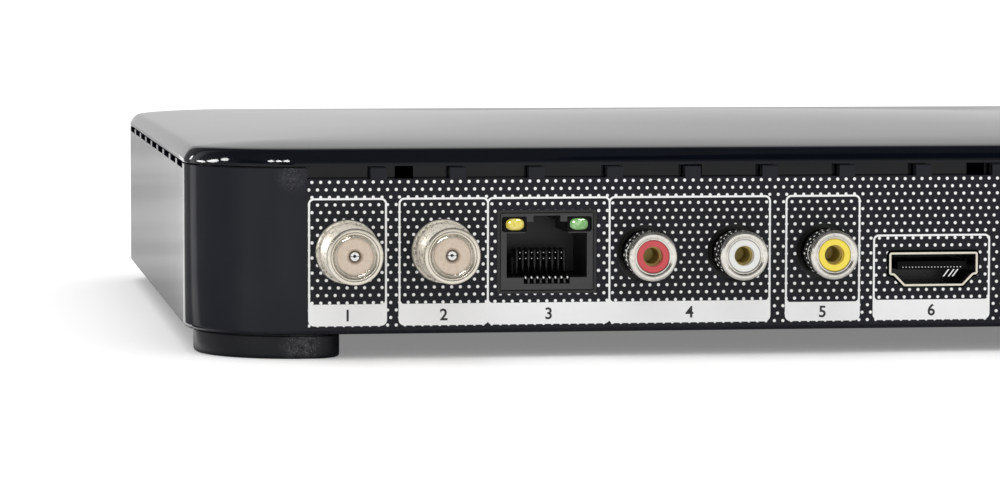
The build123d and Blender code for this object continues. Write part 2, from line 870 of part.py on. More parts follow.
for name, x in phono_sockets.items():
    with BuildPart() as barrel:
        rod(x, rca_z, rca_barrel_radius, phono_tip, phono_tip - socket_seat)
        fillet(barrel.edges().group_by(Axis.Y)[-1], rca_lip_round)
        rod(x, rca_z, rca_insert_radius, phono_tip, phono_tip - socket_seat, Mode.SUBTRACT)
    with BuildPart() as insert:
        rod(x, rca_z, rca_insert_radius - fit_gap, insert_face, insert_face - socket_seat)
        rod(x, rca_z, rca_hole_radius, insert_face, rca_hole_depth, Mode.SUBTRACT)
        rod(x, rca_z, rca_contact_radius, contact_front, rca_contact_depth, Mode.SUBTRACT)
    pieces.update({f"{name}_barrel": barrel, f"{name}_insert": insert})

with BuildPart() as audio_contacts:
    phono_contact(audio_right_x)
    phono_contact(audio_left_x)

with BuildPart() as audio_block:
    phono_block(audio_left_x, audio_right_x)

with BuildPart() as video_contact:
    phono_contact(video_x)

with BuildPart() as video_block:
    phono_block(video_x, video_x)

with BuildPart() as digital_contact:
    phono_contact(digital_x)

with BuildPart() as digital_block:
    phono_block(digital_x, digital_x)

pieces.update(audio_contacts=audio_contacts, audio_block=audio_block, video_contact=video_contact)
pieces.update(video_block=video_block, digital_contact=digital_contact, digital_block=digital_block)


# Television and data sockets

with BuildPart() as hdmi_shell:
    hdmi_face = label_face + hdmi_proud
    hollow_depth = hdmi_depth - shell_back
    for grow, length, mode in ((0, hdmi_depth, Mode.ADD), (-hdmi_skin, hollow_depth, Mode.SUBTRACT)):
        profile = hdmi_outline(grow)
        with BuildSketch(at_y(hdmi_face)):
            with Locations((hdmi_x, board_top)):
                add(profile)
        extrude(amount=length, mode=mode)

with BuildPart() as hdmi_tongue:
    tongue_z = board_top + hdmi_tongue_height
    tongue_face = hdmi_face - hdmi_tongue_recess
    tongue_depth = hdmi_depth - shell_back - hdmi_tongue_recess
    block(hdmi_x, tongue_z, hdmi_tongue_width, hdmi_tongue_thickness, tongue_face, tongue_depth)

with BuildPart() as usb_shell:
    usb_face = label_face + usb_proud
    block(usb_x, board_top, usb_width, usb_height, usb_face, usb_depth)
    block(
        usb_x, board_top + usb_skin, usb_width - 2 * usb_skin, usb_height - 2 * usb_skin, usb_face,
        usb_depth - shell_back, Mode.SUBTRACT,
    )

with BuildPart() as usb_tongue:
    tongue_z = board_top + usb_tongue_height
    tongue_face = usb_face - usb_tongue_recess
    tongue_depth = usb_depth - shell_back - usb_tongue_recess
    block(usb_x, tongue_z, usb_tongue_width, usb_tongue_thickness, tongue_face, tongue_depth)

pieces.update(hdmi_shell=hdmi_shell, hdmi_tongue=hdmi_tongue, usb_shell=usb_shell, usb_tongue=usb_tongue)


# Direct current inlet

jack_z = board_top + jack_height / 2
jack_face = label_face + jack_proud

with BuildPart() as power_jack_housing:
    block(jack_x, board_top, jack_width, jack_height, socket_seat, jack_depth)
    rod(jack_x, jack_z, jack_collar_radius, jack_face, jack_face - socket_seat)
    rod(jack_x, jack_z, jack_bore_radius, jack_face, jack_bore_depth, Mode.SUBTRACT)

with BuildPart() as power_jack_pin:
    pin_face = jack_face - jack_bore_depth + jack_pin_length
    rod(jack_x, jack_z, jack_pin_radius, pin_face, jack_pin_length)
    fillet(power_jack_pin.edges().group_by(Axis.Y)[-1], jack_pin_radius / 2)

pieces.update(power_jack_housing=power_jack_housing, power_jack_pin=power_jack_pin)


# Rocker switch, shown off: its lower half is pressed in

rocker_radius = switch_window_height / 2 - rocker_gap
rocker_width = switch_window_width - 2 * rocker_gap
rest_turn = radians(-rocker_angle)
rocker_side = Plane(
    origin=(switch_x - rocker_width / 2, switch_pivot_y, switch_z),
    x_dir=(0, cos(rest_turn), sin(rest_turn)),
    z_dir=(1, 0, 0),
)

with BuildPart() as switch_housing:
    with BuildSketch(at_y(label_face + bezel_proud)):
        with Locations((switch_x, switch_z)):
            RectangleRounded(bezel_width, bezel_height, bezel_round)
    extrude(amount=bezel_proud)
    fillet(switch_housing.faces().sort_by(Axis.Y)[-1].edges(), bezel_proud / 4)
    body_bottom = switch_z - switch_body_height / 2
    block(switch_x, body_bottom, switch_body_width, switch_body_height, label_face, switch_body_depth)
    window_bottom = switch_z - switch_window_height / 2
    bezel_face = label_face + bezel_proud
    block(
        switch_x, window_bottom, switch_window_width, switch_window_height, bezel_face,
        bezel_face - switch_pivot_y + switch_well_depth, Mode.SUBTRACT,
    )
    pivot_reach = rocker_width / 2 + rocker_pin_length + running_gap
    with BuildSketch(Plane.YZ.offset(switch_x - pivot_reach)):
        with Locations((switch_pivot_y, switch_z)):
            Circle(rocker_pin_radius + running_gap)
    extrude(amount=2 * pivot_reach, mode=Mode.SUBTRACT)

with BuildPart() as switch_rocker:
    with BuildSketch(rocker_side):
        Circle(rocker_radius)
        rocker_end = rocker_face + rocker_radius * tan(radians(rocker_angle))
        with BuildLine():
            Polyline(
                (-rocker_tail, -rocker_radius),
                (rocker_end, -rocker_radius),
                (rocker_face, 0),
                (rocker_end, rocker_radius),
                (-rocker_tail, rocker_radius),
                close=True,
            )
        make_face(mode=Mode.INTERSECT)
    extrude(amount=rocker_width)
    with BuildSketch(rocker_side.offset(-rocker_pin_length)):
        Circle(rocker_pin_radius)
    extrude(amount=rocker_width + 2 * rocker_pin_length)

pieces.update(switch_housing=switch_housing, switch_rocker=switch_rocker)


# Front

with BuildPart() as front_panel:
    with BuildSketch(at_y(panel_face)):
        with Locations((0, panel_z)):
            RectangleRounded(panel_width, panel_height, panel_corner_round)
    extrude(amount=-panel_thickness)
    with BuildSketch(at_y(panel_face)):
        window_outline(-fit_gap)
        front_controls()
    extrude(amount=-panel_thickness, mode=Mode.SUBTRACT)

with BuildPart() as display_window:
    with BuildSketch(at_y(panel_face)):
        window_outline(0)
    extrude(amount=-panel_thickness)

with BuildPart() as standby_lens:
    rod(standby_x, panel_z, standby_radius, front_board_face, front_board_face - panel_face)

for name in buttons:
    with BuildPart() as button:
        cap_face = panel_face - button_proud
        with BuildSketch(at_y(cap_face)):
            button_outline(name, 0)
        extrude(amount=-(lip_face - cap_face))
        fillet(button.faces().sort_by(Axis.Y)[0].edges(), button_edge_round)
        with BuildSketch(at_y(lip_face)):
            button_outline(name, button_lip)
        extrude(amount=-button_lip_thickness)
    pieces[name] = button

with BuildPart() as tact_switches:
    for x in buttons.values():
        block(x, panel_z - tact_side / 2, tact_side, tact_side, front_board_face, tact_height)
        rod(x, panel_z, tact_plunger_radius, front_board_face, tact_height + tact_plunger_height)

with BuildPart() as front_board:
    bottom = panel_z - front_board_height / 2
    block(0, bottom, front_board_width, front_board_height, front_board_back, board_thickness)
    for x, z in front_post_spots:
        rod(x, z, board_hole_radius, front_board_back, board_thickness, Mode.SUBTRACT)

module_depth = front_board_face - lens_back - display_gap

with BuildPart() as display_module:
    display_x = (display_left + display_right) / 2
    bottom = panel_z - display_height / 2
    block(display_x, bottom, display_right - display_left, display_height, front_board_face, module_depth)

with BuildPart() as ir_receiver:
    rod(ir_x, panel_z, ir_radius, front_board_face, module_depth)
    fillet(ir_receiver.edges().group_by(Axis.Y)[0], ir_radius / 2)

with BuildPart() as ribbon_headers:
    header_bottom = panel_z - header_depth / 2
    front_header_back = front_board_back + header_height
    block(ribbon_x, board_top, header_width, header_height, header_y + header_depth / 2, header_depth)
    block(ribbon_x, header_bottom, header_width, header_depth, front_header_back, header_height)

with BuildPart() as front_ribbon:
    header_top = board_top + header_height
    with BuildSketch(Plane.YZ.offset(ribbon_x - ribbon_width / 2)):
        with BuildLine():
            FilletPolyline(
                (header_y, header_top),
                (header_y, header_top + ribbon_rise),
                (front_header_back + ribbon_reach, header_top + ribbon_rise),
                (front_header_back + ribbon_reach, panel_z),
                (front_header_back, panel_z),
                radius=ribbon_bend,
            )
        trace(line_width=ribbon_thickness)
    extrude(amount=ribbon_width)

pieces.update(front_panel=front_panel, display_window=display_window, standby_lens=standby_lens)
pieces.update(tact_switches=tact_switches, front_board=front_board, display_module=display_module)
pieces.update(ir_receiver=ir_receiver, ribbon_headers=ribbon_headers, front_ribbon=front_ribbon)


os.makedirs("parts", exist_ok=True)
for name, piece in pieces.items():
    piece.part.label = name
    export_step(piece.part, f"parts/{name}.step")
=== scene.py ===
import json
import math
import random

import bmesh
import bpy
from mathutils import Matrix, Vector


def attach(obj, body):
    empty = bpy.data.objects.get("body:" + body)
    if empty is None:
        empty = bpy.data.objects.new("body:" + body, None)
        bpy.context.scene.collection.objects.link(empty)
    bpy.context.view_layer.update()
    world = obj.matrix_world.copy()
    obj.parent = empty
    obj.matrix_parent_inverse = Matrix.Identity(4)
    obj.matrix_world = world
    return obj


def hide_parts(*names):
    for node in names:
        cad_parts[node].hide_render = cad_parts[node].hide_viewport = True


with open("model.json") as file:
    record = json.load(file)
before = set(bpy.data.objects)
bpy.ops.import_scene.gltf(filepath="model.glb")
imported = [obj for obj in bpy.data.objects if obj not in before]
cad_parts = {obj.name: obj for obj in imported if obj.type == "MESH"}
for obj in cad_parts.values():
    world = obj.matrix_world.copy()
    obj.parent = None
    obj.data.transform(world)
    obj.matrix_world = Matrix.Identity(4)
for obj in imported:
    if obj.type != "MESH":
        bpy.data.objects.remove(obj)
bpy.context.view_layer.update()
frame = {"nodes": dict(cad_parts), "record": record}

nodes = frame["nodes"]
mm = 0.001
white = (1.0, 1.0, 1.0)
print("frame loaded:", len(nodes), "nodes")


def operation(name, swapped=False):
    def applied(wire, other):
        terms = (other, wire) if swapped else (wire, other)
        return wire.finish.math(name, *terms)
    return applied


# Shader sockets that can be added, multiplied and so on, as plain Python expressions
class Wire:
    def __init__(self, finish, socket):
        self.finish = finish
        self.socket = socket

    def __abs__(self):
        return self.finish.math("ABSOLUTE", self)

    __add__ = operation("ADD")
    __radd__ = operation("ADD", swapped=True)
    __sub__ = operation("SUBTRACT")
    __rsub__ = operation("SUBTRACT", swapped=True)
    __mul__ = operation("MULTIPLY")
    __rmul__ = operation("MULTIPLY", swapped=True)
    __truediv__ = operation("DIVIDE")
    __rtruediv__ = operation("DIVIDE", swapped=True)
    __mod__ = operation("FLOORED_MODULO")
    __rmod__ = operation("FLOORED_MODULO", swapped=True)
    __pow__ = operation("POWER")
    __rpow__ = operation("POWER", swapped=True)
    __lt__ = operation("LESS_THAN")
    __gt__ = operation("GREATER_THAN")


def grey(level):
    return (level, level, level)


class Finish:
    def __init__(self, owner):
        owner.use_nodes = True
        self.owner = owner
        self.tree = owner.node_tree
        self.tree.nodes.clear()

    # Any node: its type, its settings, then the values or links of its sockets
    def node(self, kind, settings=None, values=None, output=0):
        made = self.tree.nodes.new(kind)
        for key, value in (settings or {}).items():
            if key == "stops":
                ramp = made.color_ramp.elements
                while len(ramp) < len(value):
                    ramp.new(1.0)
                for element, (place, colour) in zip(ramp, value):
                    element.position = place
                    element.color = (*colour, 1.0)
            else:
                setattr(made, key, value)
        for key, value in (values or {}).items():
            if isinstance(value, Wire):
                self.tree.links.new(value.socket, made.inputs[key])
            elif isinstance(value, (tuple, list)) and len(made.inputs[key].default_value) > len(value):
                made.inputs[key].default_value = (*value, 1.0)
            else:
                made.inputs[key].default_value = value
        return Wire(self, made.outputs[output]) if made.outputs else None

    def math(self, operation, *terms):
        return self.node("ShaderNodeMath", {"operation": operation}, dict(enumerate(terms)))

    def blend(self, factor, first, second):
        return self.node("ShaderNodeMix", {"data_type": "RGBA"}, {0: factor, 6: first, 7: second}, 2)

    def vector(self, operation, values, output=0):
        return self.node("ShaderNodeVectorMath", {"operation": operation}, values, output)

    # Place on the piece, in millimetres
    def place(self):
        where = self.node("ShaderNodeTexCoord", output="Object")
        return self.vector("SCALE", {0: where, "Scale": 1 / mm})

    # The three parts of a vector, or of the place on the piece
    def axes(self, vector=None):
        split = self.node("ShaderNodeSeparateXYZ", None, {0: vector or self.place()})
        return [Wire(self, output) for output in split.socket.node.outputs]

    # 1 for a ray of the named kind
    def ray(self, name):
        return self.node("ShaderNodeLightPath", output=name)

    def glow(self, strength):
        return self.node("ShaderNodeEmission", None, {"Color": white, "Strength": strength})

    def noise(self, scale, detail=3.0, rough=0.5, stretch=None):
        at = self.place()
        if stretch:
            at = self.vector("MULTIPLY", {0: at, 1: stretch})
        values = {"Vector": at, "Scale": scale, "Detail": detail, "Roughness": rough}
        return self.node("ShaderNodeTexNoise", None, values)

    # From start below low to end above high, smooth between
    def step(self, value, low, high, start=0.0, end=1.0):
        settings = {"interpolation_type": "SMOOTHSTEP"}
        values = {"Value": value, "From Min": low, "From Max": high, "To Min": start, "To Max": end}
        return self.node("ShaderNodeMapRange", settings, values)

    def rounded(self, radius):
        return self.node("ShaderNodeBevel", {"samples": 6}, {"Radius": radius * mm})

    # 1 along edges that stand out, 0 on flats
    def edges(self, radius):
        true = self.node("ShaderNodeNewGeometry", output="True Normal")
        turn = self.vector("DOT_PRODUCT", {0: self.rounded(radius), 1: true}, "Value")
        return self.step(1 - turn, 0.02, 0.35)

    def bump(self, height, strength, distance, normal=None):
        values = {"Height": height, "Strength": strength, "Distance": distance * mm}
        if normal:
            values["Normal"] = normal
        return self.node("ShaderNodeBump", None, values)

    def surface(self, colour, rough, normal, more=None):
        values = {"Base Color": colour, "Roughness": rough, "Normal": normal, **(more or {})}
        shader = self.node("ShaderNodeBsdfPrincipled", None, values)
        self.node("ShaderNodeOutputMaterial", None, {"Surface": shader})
        return self.owner


def newFinish(name):
    return Finish(bpy.data.materials.new(name))


def link(thing):
    bpy.context.scene.collection.objects.link(thing)


# Camera: its place and the directions of its right and top

cameraSettings = {
    "place": (161.414, 775.082, 67.738),
    "right": (-0.98918367, 0.14667242, 0.00169268),
    "up": (-0.00843519, -0.06840146, 0.99762222),
    "lens": 148.979,
    "sensor": 36.0,
    "clip": (0.01, 50.0),
}


def makeCamera():
    lens = bpy.data.cameras.new("camera")
    lens.lens = cameraSettings["lens"]
    lens.sensor_width = cameraSettings["sensor"]
    lens.clip_start, lens.clip_end = cameraSettings["clip"]
    camera = bpy.data.objects.new("camera", lens)
    right, up = Vector(cameraSettings["right"]), Vector(cameraSettings["up"])
    turn = Matrix((right, up, right.cross(up))).transposed().to_4x4()
    camera.matrix_world = Matrix.Translation(Vector(cameraSettings["place"]) * mm) @ turn
    link(camera)
    bpy.context.scene.camera = camera


makeCamera()
bpy.context.scene.view_settings.view_transform = "Standard"
print("camera placed")


# Floor, backdrop and light
# Stops of the surroundings that the sky and the floor share: degrees round from straight ahead, level

roundLeft = [(-180, 0.9), (-120, 0.85), (-70, 0.5)]
roundRight = [(36, 0.2), (40, 0.8), (49, 0.8), (53, 0.33), (66, 0.4), (85, 0.5), (105, 0.62), (125, 0.88),
              (180, 0.9)]

studio = {
    "floorSize": 30.0,
    "floorColour": grey(0.84),
    "floorGlow": (0.22, 0.3),  # what the floor adds for the camera, near and far
    "glowReach": (0.4, 1.6),
    "patchScale": 0.009, "patchLevels": (0.84, 1.04),  # uneven light on the floor that gloss reflects
    "skyLight": 1.0,
    "lampPlace": (0.25, 0.35, 1.5),
    "lampSize": 1.4,
    "lampPower": 5.0,
    # Brightness of what gloss reflects, round the rear right corner of the case
    "roundPlace": (111.0, 89.0),
    "roundSky": roundLeft + [(-30, 0.5), (-12, 0.63), (4.6, 0.66), (11, 0.75), (13, 0.2)] + roundRight,
    "roundFloor": roundLeft + [(-30, 0.45), (-12, 0.5), (4.6, 0.53), (5.2, 1.6), (14, 1.6),
                               (15.5, 0.2)] + roundRight,
    # and its share by the sine of the height above the horizon, ahead and behind
    "riseAhead": [(0, 1.09), (0.08, 1.02), (0.18, 0.97), (0.3, 0.9), (0.42, 0.72), (0.55, 0.45), (0.75, 0.25),
                  (1, 0.2)],
    "riseBehind": [(0, 1), (0.15, 0.95), (0.35, 0.5), (0.6, 0.22), (1, 0.18)],
    # Small lamps that only gloss sees: name, degrees round, degrees up, width and height in degrees, strength
    "sparkAway": 700.0,
    "sparkHeight": 30.0,  # of the point that they face
    "sparkShape": [(-1, -0.4), (-0.5, -1), (0.35, -0.8), (1, -0.1), (0.6, 0.7), (-0.1, 1), (-0.75, 0.6)],
    "sparks": [
        ("spark_window", 76.0, 20.0, 17.0, 23.0, 26.0),
        ("spark_shade", 87.0, 34.0, 10.0, 8.0, 26.0),
        ("spark_pane", 60.0, 9.0, 18.0, 13.0, 20.0),
        ("spark_lamp", 33.5, 12.5, 4.5, 9.0, 9.0),
        ("spark_bulb_1", 147.0, 43.5, 6.5, 6.5, 45.0),
        ("spark_bulb_2", 157.0, 44.2, 6.5, 6.5, 45.0),
        ("spark_bulb_3", 167.0, 44.8, 6.5, 6.5, 45.0),
    ],
    "glints": [
        ("glint_middle", 168.0, 14.0, 20.0, 20.0, 40.0),
        ("glint_side", -145.0, 45.0, 24.0, 20.0, 40.0),
    ],
    # A dark corner of the room that gloss reflects: turns from straight behind, sines of the height
    "nookTurns": (0.79, 0.92), "nookTurnSoft": 0.03,
    "nookRise": (0.2, 0.72), "nookRiseSoft": 0.1,
    "nookKept": 0.25,  # share of the light that is left there
}


def ramp(paint, value, stops):
    return paint.node("ShaderNodeValToRGB", {"stops": [(at, grey(level)) for at, level in stops]}, {0: value})


# Share of a full turn, from straight behind, in the direction of x and y
def turnOf(paint, x, y):
    return paint.math("ARCTAN2", x, 0 - y) / (2 * math.pi) + 0.5


def roundLevel(paint, turn, table):
    return ramp(paint, turn, [(degrees / 360 + 0.5, level) for degrees, level in studio[table]])


# 1 between two values, falling off inwards over soft
def within(paint, value, limits, soft):
    low, high = limits
    return paint.step(value, low, low + soft) * (1 - paint.step(value, high - soft, high))


def makeWorld():
    world = bpy.data.worlds.new("studio")
    bpy.context.scene.world = world
    sky = Finish(world)
    seen = sky.math("MAXIMUM", sky.ray("Is Camera Ray"), sky.ray("Is Transmission Ray"))
    glossy = sky.ray("Is Glossy Ray")
    x, y, z = sky.axes(sky.node("ShaderNodeTexCoord", output="Generated"))
    ahead = sky.step(0 - y, -0.25, 0.25)
    share = ramp(sky, z, studio["riseAhead"]) * ahead + ramp(sky, z, studio["riseBehind"]) * (1 - ahead)
    turn = turnOf(sky, x, y)
    nook = within(sky, turn, studio["nookTurns"], studio["nookTurnSoft"])
    nook = nook * within(sky, z, studio["nookRise"], studio["nookRiseSoft"])
    share = share * (1 - nook * (1 - studio["nookKept"]))
    strength = studio["skyLight"] * (1 - glossy) + roundLevel(sky, turn, "roundSky") * share * glossy
    strength = strength * (1 - seen) + seen
    shader = sky.node("ShaderNodeBackground", None, {"Color": white, "Strength": strength})
    sky.node("ShaderNodeOutputWorld", None, {"Surface": shader})


def makeFloor():
    mesh = bpy.data.meshes.new("floor")
    half = studio["floorSize"] / 2
    corners = [(-half, -half, 0), (half, -half, 0), (half, half, 0), (-half, half, 0)]
    mesh.from_pydata(corners, [], [(0, 1, 2, 3)])
    floor = bpy.data.objects.new("floor", mesh)
    link(floor)
    paint = newFinish("floor")
    glossy = paint.ray("Is Glossy Ray")
    x, y, z = paint.axes(paint.node("ShaderNodeTexCoord", output="Object"))
    away = (x * x + y * y) ** 0.5
    shown = paint.ray("Is Camera Ray") * paint.step(away, *studio["glowReach"], *studio["floorGlow"])
    cornerX, cornerY = studio["roundPlace"]
    level = roundLevel(paint, turnOf(paint, x - cornerX * mm, y - cornerY * mm), "roundFloor")
    patches = paint.step(paint.noise(studio["patchScale"]), 0.35, 0.65, *studio["patchLevels"])
    dim = paint.math("MINIMUM", level, 1.0) * patches
    extra = paint.math("MAXIMUM", level - 1, 0.0) * glossy
    colour = paint.blend(glossy, studio["floorColour"], dim)
    matte = paint.node("ShaderNodeBsdfDiffuse", None, {"Color": colour})
    both = paint.node("ShaderNodeAddShader", None, {0: matte, 1: paint.glow(shown)})
    both = paint.node("ShaderNodeAddShader", None, {0: both, 1: paint.glow(extra)})
    paint.node("ShaderNodeOutputMaterial", None, {"Surface": both})
    mesh.materials.append(paint.owner)


def makeLamp():
    lamp = bpy.data.lights.new("overhead", "AREA")
    lamp.shape = "DISK"
    lamp.size = studio["lampSize"]
    lamp.energy = studio["lampPower"]
    light = bpy.data.objects.new("overhead", lamp)
    light.location = studio["lampPlace"]
    light.rotation_euler = (-light.location).to_track_quat("-Z", "Y").to_euler()
    light.visible_glossy = False
    link(light)


# A small bright card that faces the corner and shows only in a first reflection
def makeSpark(name, turn, height, wide, tall, strength):
    mesh = bpy.data.meshes.new(name)
    reach = studio["sparkAway"] * mm
    w, h = (reach * math.radians(size) / 2 for size in (wide, tall))
    outline = studio["sparkShape"]
    mesh.from_pydata([(x * w, y * h, 0) for x, y in outline], [], [tuple(range(len(outline)))])
    card = bpy.data.objects.new(name, mesh)
    a, e = math.radians(turn), math.radians(height)
    away = Vector((math.sin(a) * math.cos(e), -math.cos(a) * math.cos(e), math.sin(e)))
    cornerX, cornerY = studio["roundPlace"]
    card.location = Vector((cornerX, cornerY, studio["sparkHeight"])) * mm + away * reach
    card.rotation_euler = (-away).to_track_quat("Z", "Y").to_euler()
    link(card)
    card.visible_camera = card.visible_diffuse = card.visible_shadow = card.visible_transmission = False
    paint = newFinish(name)
    first = (paint.ray("Diffuse Depth") < 0.5) * strength
    paint.node("ShaderNodeOutputMaterial", None, {"Surface": paint.glow(first)})
    mesh.materials.append(paint.owner)
    return card


# The cards shine on the named pieces alone
def shineOn(cards, pieces):
    chosen = bpy.data.collections.new("shine_" + pieces[0].name)
    for piece in pieces:
        chosen.objects.link(piece)
    for card in cards:
        card.light_linking.receiver_collection = chosen


makeWorld()
makeFloor()
makeLamp()
lidSparks = [makeSpark(*spark) for spark in studio["sparks"]]
lightGlints = [makeSpark(*glint) for glint in studio["glints"]]
print("studio ready")


# Finishes of the moulded, stamped and plated pieces

def moulded(name, look):
    look = {**plainPlastic, **look}
    paint = newFinish(name)
    cloud = paint.noise(0.09, 3.0)
    grain = paint.noise(look["grain"], 4.0, 0.6)
    wear = paint.edges(look["edge"]) * paint.step(paint.noise(0.9, 4.0), 0.35, 0.65)
    colour = paint.blend(cloud * 0.8, look["colour"], look["shade"])
    colour = paint.blend(wear * look["wear"], colour, look["worn"])
    # Painted shade: darker from the given depth inwards, into the socket's opening
    if "inside" in look:
        x, y, z = paint.axes()
        deep = 1 - paint.step(y, look["inside"] - 1.2, look["inside"] + 0.1)
        colour = paint.blend(deep * 0.8, colour, grey(0.004))
    rough = look["rough"] + (cloud - 0.5) * look["uneven"] + wear * 0.15
    if "dustAndHighlight" in look:
        # Specks and a thin haze round one place, paler than the plastic: partly dust, and partly a painted
        # highlight, a gleam on the case and the sparkle of the foot's grain
        middle, reach, amount = look["dustAndHighlight"]
        away = paint.vector("DISTANCE", {0: paint.place(), 1: middle}, "Value")
        near = 1 - paint.step(away + paint.noise(0.6, 3.0) * 2, reach * 0.4, reach + 1)
        specksAndGlints = paint.step(paint.noise(5.5, 2.0), 0.62, 0.72) * near
        haze = paint.step(paint.noise(1.2, 5.0, 0.7), 0.35, 0.7) * near
        colour = paint.blend(specksAndGlints * amount + haze * amount * 0.25, colour, grey(0.5))
    normal = paint.bump(grain, look["relief"], 0.02, paint.rounded(look["edge"]))
    return paint.surface(colour, rough, normal, {"IOR": look["ior"], "Specular IOR Level": look["specular"]})


# What holds where a look leaves it out: fineness and relief of the grain, roughness and its unevenness,
# radius and wear of the edges
plainPlastic = dict(worn=grey(0.07), grain=8.0, relief=0.3, rough=0.36, uneven=0.1, edge=0.15, wear=0.3,
                    ior=1.5, specular=0.5)
insertGrain = dict(grain=6.0, relief=0.25, rough=0.34, uneven=0.06, edge=0.12, wear=0.35)
lightGrain = dict(grain=3.0, relief=0.05, rough=0.12, uneven=0.04, edge=0.35)

plasticLooks = {
    # The case's patch of specks and haze by the label's corner is partly dust and partly a painted highlight
    "case_plastic": dict(colour=(0.002, 0.003, 0.0075), shade=(0.0045, 0.0056, 0.0105),
                         worn=grey(0.05), grain=7.0, relief=0.05, rough=0.10, uneven=0.05, edge=0.25,
                         wear=0.35, ior=1.36, dustAndHighlight=((94.6, 89.0, 30.6), 3.4, 0.3)),
    "cover_gloss": dict(colour=(0.002, 0.003, 0.0055), shade=(0.0035, 0.0045, 0.0075),
                        worn=grey(0.05), grain=3.0, relief=0.02, rough=0.05, uneven=0.03, edge=0.2,
                        wear=0.25, ior=1.36),
    # The foot's specks are partly dust and partly painted sparkle highlights
    "foot_rubber": dict(colour=(0.004, 0.005, 0.008), shade=(0.0065, 0.0075, 0.011), worn=grey(0.05),
                        grain=9.0, rough=0.34, edge=0.3, specular=0.3, dustAndHighlight=((92.8, 87.0, 2.6), 4.6, 0.5)),
    "chip_black": dict(colour=(0.02, 0.02, 0.021), shade=(0.03, 0.03, 0.032), worn=grey(0.08), relief=0.4,
                       rough=0.5, edge=0.2),
    # Darker from its face inwards as painted shade in the socket's opening
    "socket_grey": dict(colour=(0.034, 0.034, 0.036), shade=(0.046, 0.046, 0.047), worn=grey(0.13),
                        uneven=0.08, wear=0.6, inside=89.0),
    "socket_black": dict(colour=grey(0.01), shade=(0.016, 0.016, 0.017), wear=0.4),
    # Near-black: the tongues are black, while on the network socket's contacts and light windows it is
    # painted shade
    "recess_black": dict(colour=grey(0.003), shade=grey(0.006), worn=grey(0.03), rough=0.5, specular=0.1),
    "rocker_black": dict(colour=grey(0.012), shade=(0.017, 0.017, 0.018), grain=9.0, relief=0.35, rough=0.3,
                         uneven=0.08, edge=0.2, wear=0.5),
    "panel_gloss": dict(colour=(0.007, 0.007, 0.008), shade=(0.010, 0.010, 0.012), worn=grey(0.06),
                        grain=3.0, relief=0.02, rough=0.05, uneven=0.02, edge=0.2),
    "button_plastic": dict(colour=(0.028, 0.028, 0.03), shade=(0.036, 0.036, 0.038), worn=grey(0.12),
                           grain=9.0, relief=0.25, rough=0.26, uneven=0.06, edge=0.25, wear=0.5),
    "receiver_black": dict(colour=(0.02, 0.008, 0.02), shade=(0.03, 0.012, 0.03), worn=(0.06, 0.05, 0.06),
                           grain=4.0, relief=0.05, rough=0.1, uneven=0.03, edge=0.1, wear=0.2),
    "lens_red": dict(colour=(0.3, 0.012, 0.012), shade=(0.42, 0.02, 0.02), worn=(0.5, 0.12, 0.1),
                     grain=4.0, relief=0.05, rough=0.12, uneven=0.04),
    "insert_red": dict(colour=(0.62, 0.075, 0.085), shade=(0.54, 0.055, 0.065), worn=(0.75, 0.3, 0.3),
                       **insertGrain),
    "insert_white": dict(colour=(0.84, 0.84, 0.81), shade=(0.74, 0.74, 0.71), worn=(0.9, 0.9, 0.88),
                         **insertGrain),
    "insert_yellow": dict(colour=(0.97, 0.79, 0.09), shade=(0.9, 0.7, 0.07), worn=(0.95, 0.85, 0.35),
                          **insertGrain),
    "insert_orange": dict(colour=(0.85, 0.3, 0.04), shade=(0.74, 0.23, 0.03), worn=(0.9, 0.5, 0.25),
                          **insertGrain),
    "led_yellow": dict(colour=(0.88, 0.72, 0.08), shade=(0.78, 0.6, 0.05), worn=(0.95, 0.88, 0.5),
                       **lightGrain),
    "led_green": dict(colour=(0.25, 0.55, 0.2), shade=(0.17, 0.45, 0.14), worn=(0.6, 0.8, 0.5),
                      **lightGrain),
    "header_white": dict(colour=(0.8, 0.79, 0.72), shade=(0.7, 0.68, 0.6), worn=(0.86, 0.85, 0.8),
                         grain=7.0, relief=0.2, rough=0.45, uneven=0.08),
}


# Plated metal, or black from a given depth inwards where "inside" is set, as painted shade inside the shell
def plated(name, look):
    paint = newFinish(name)
    cloud = paint.noise(0.5, 4.0)
    fine = paint.noise(look["grain"], 3.0, 0.6, stretch=look.get("stretch"))
    dull = paint.step(paint.noise(1.6, 5.0, 0.65), 0.5, 0.72)
    colour = paint.blend(cloud * 0.7, look["colour"], look["shade"])
    colour = paint.blend(dull * look["tarnish"], colour, look["dull"])
    rough = look["rough"] + (fine - 0.5) * look["uneven"] + dull * look.get("haze", 0.12)
    normal = paint.bump(fine, look["relief"], 0.02, paint.rounded(look["edge"]) if "edge" in look else None)
    metallic = look.get("metal", 1.0)
    if "inside" in look:
        x, y, z = paint.axes()
        inside = 1 - paint.step(y + (cloud - 0.5) * 0.1, look["inside"] - 0.06, look["inside"] + 0.06)
        colour = paint.blend(inside, colour, (0.012, 0.012, 0.013))
        metallic = 1 - inside * 0.85
    return paint.surface(colour, rough, normal, {"Metallic": metallic})


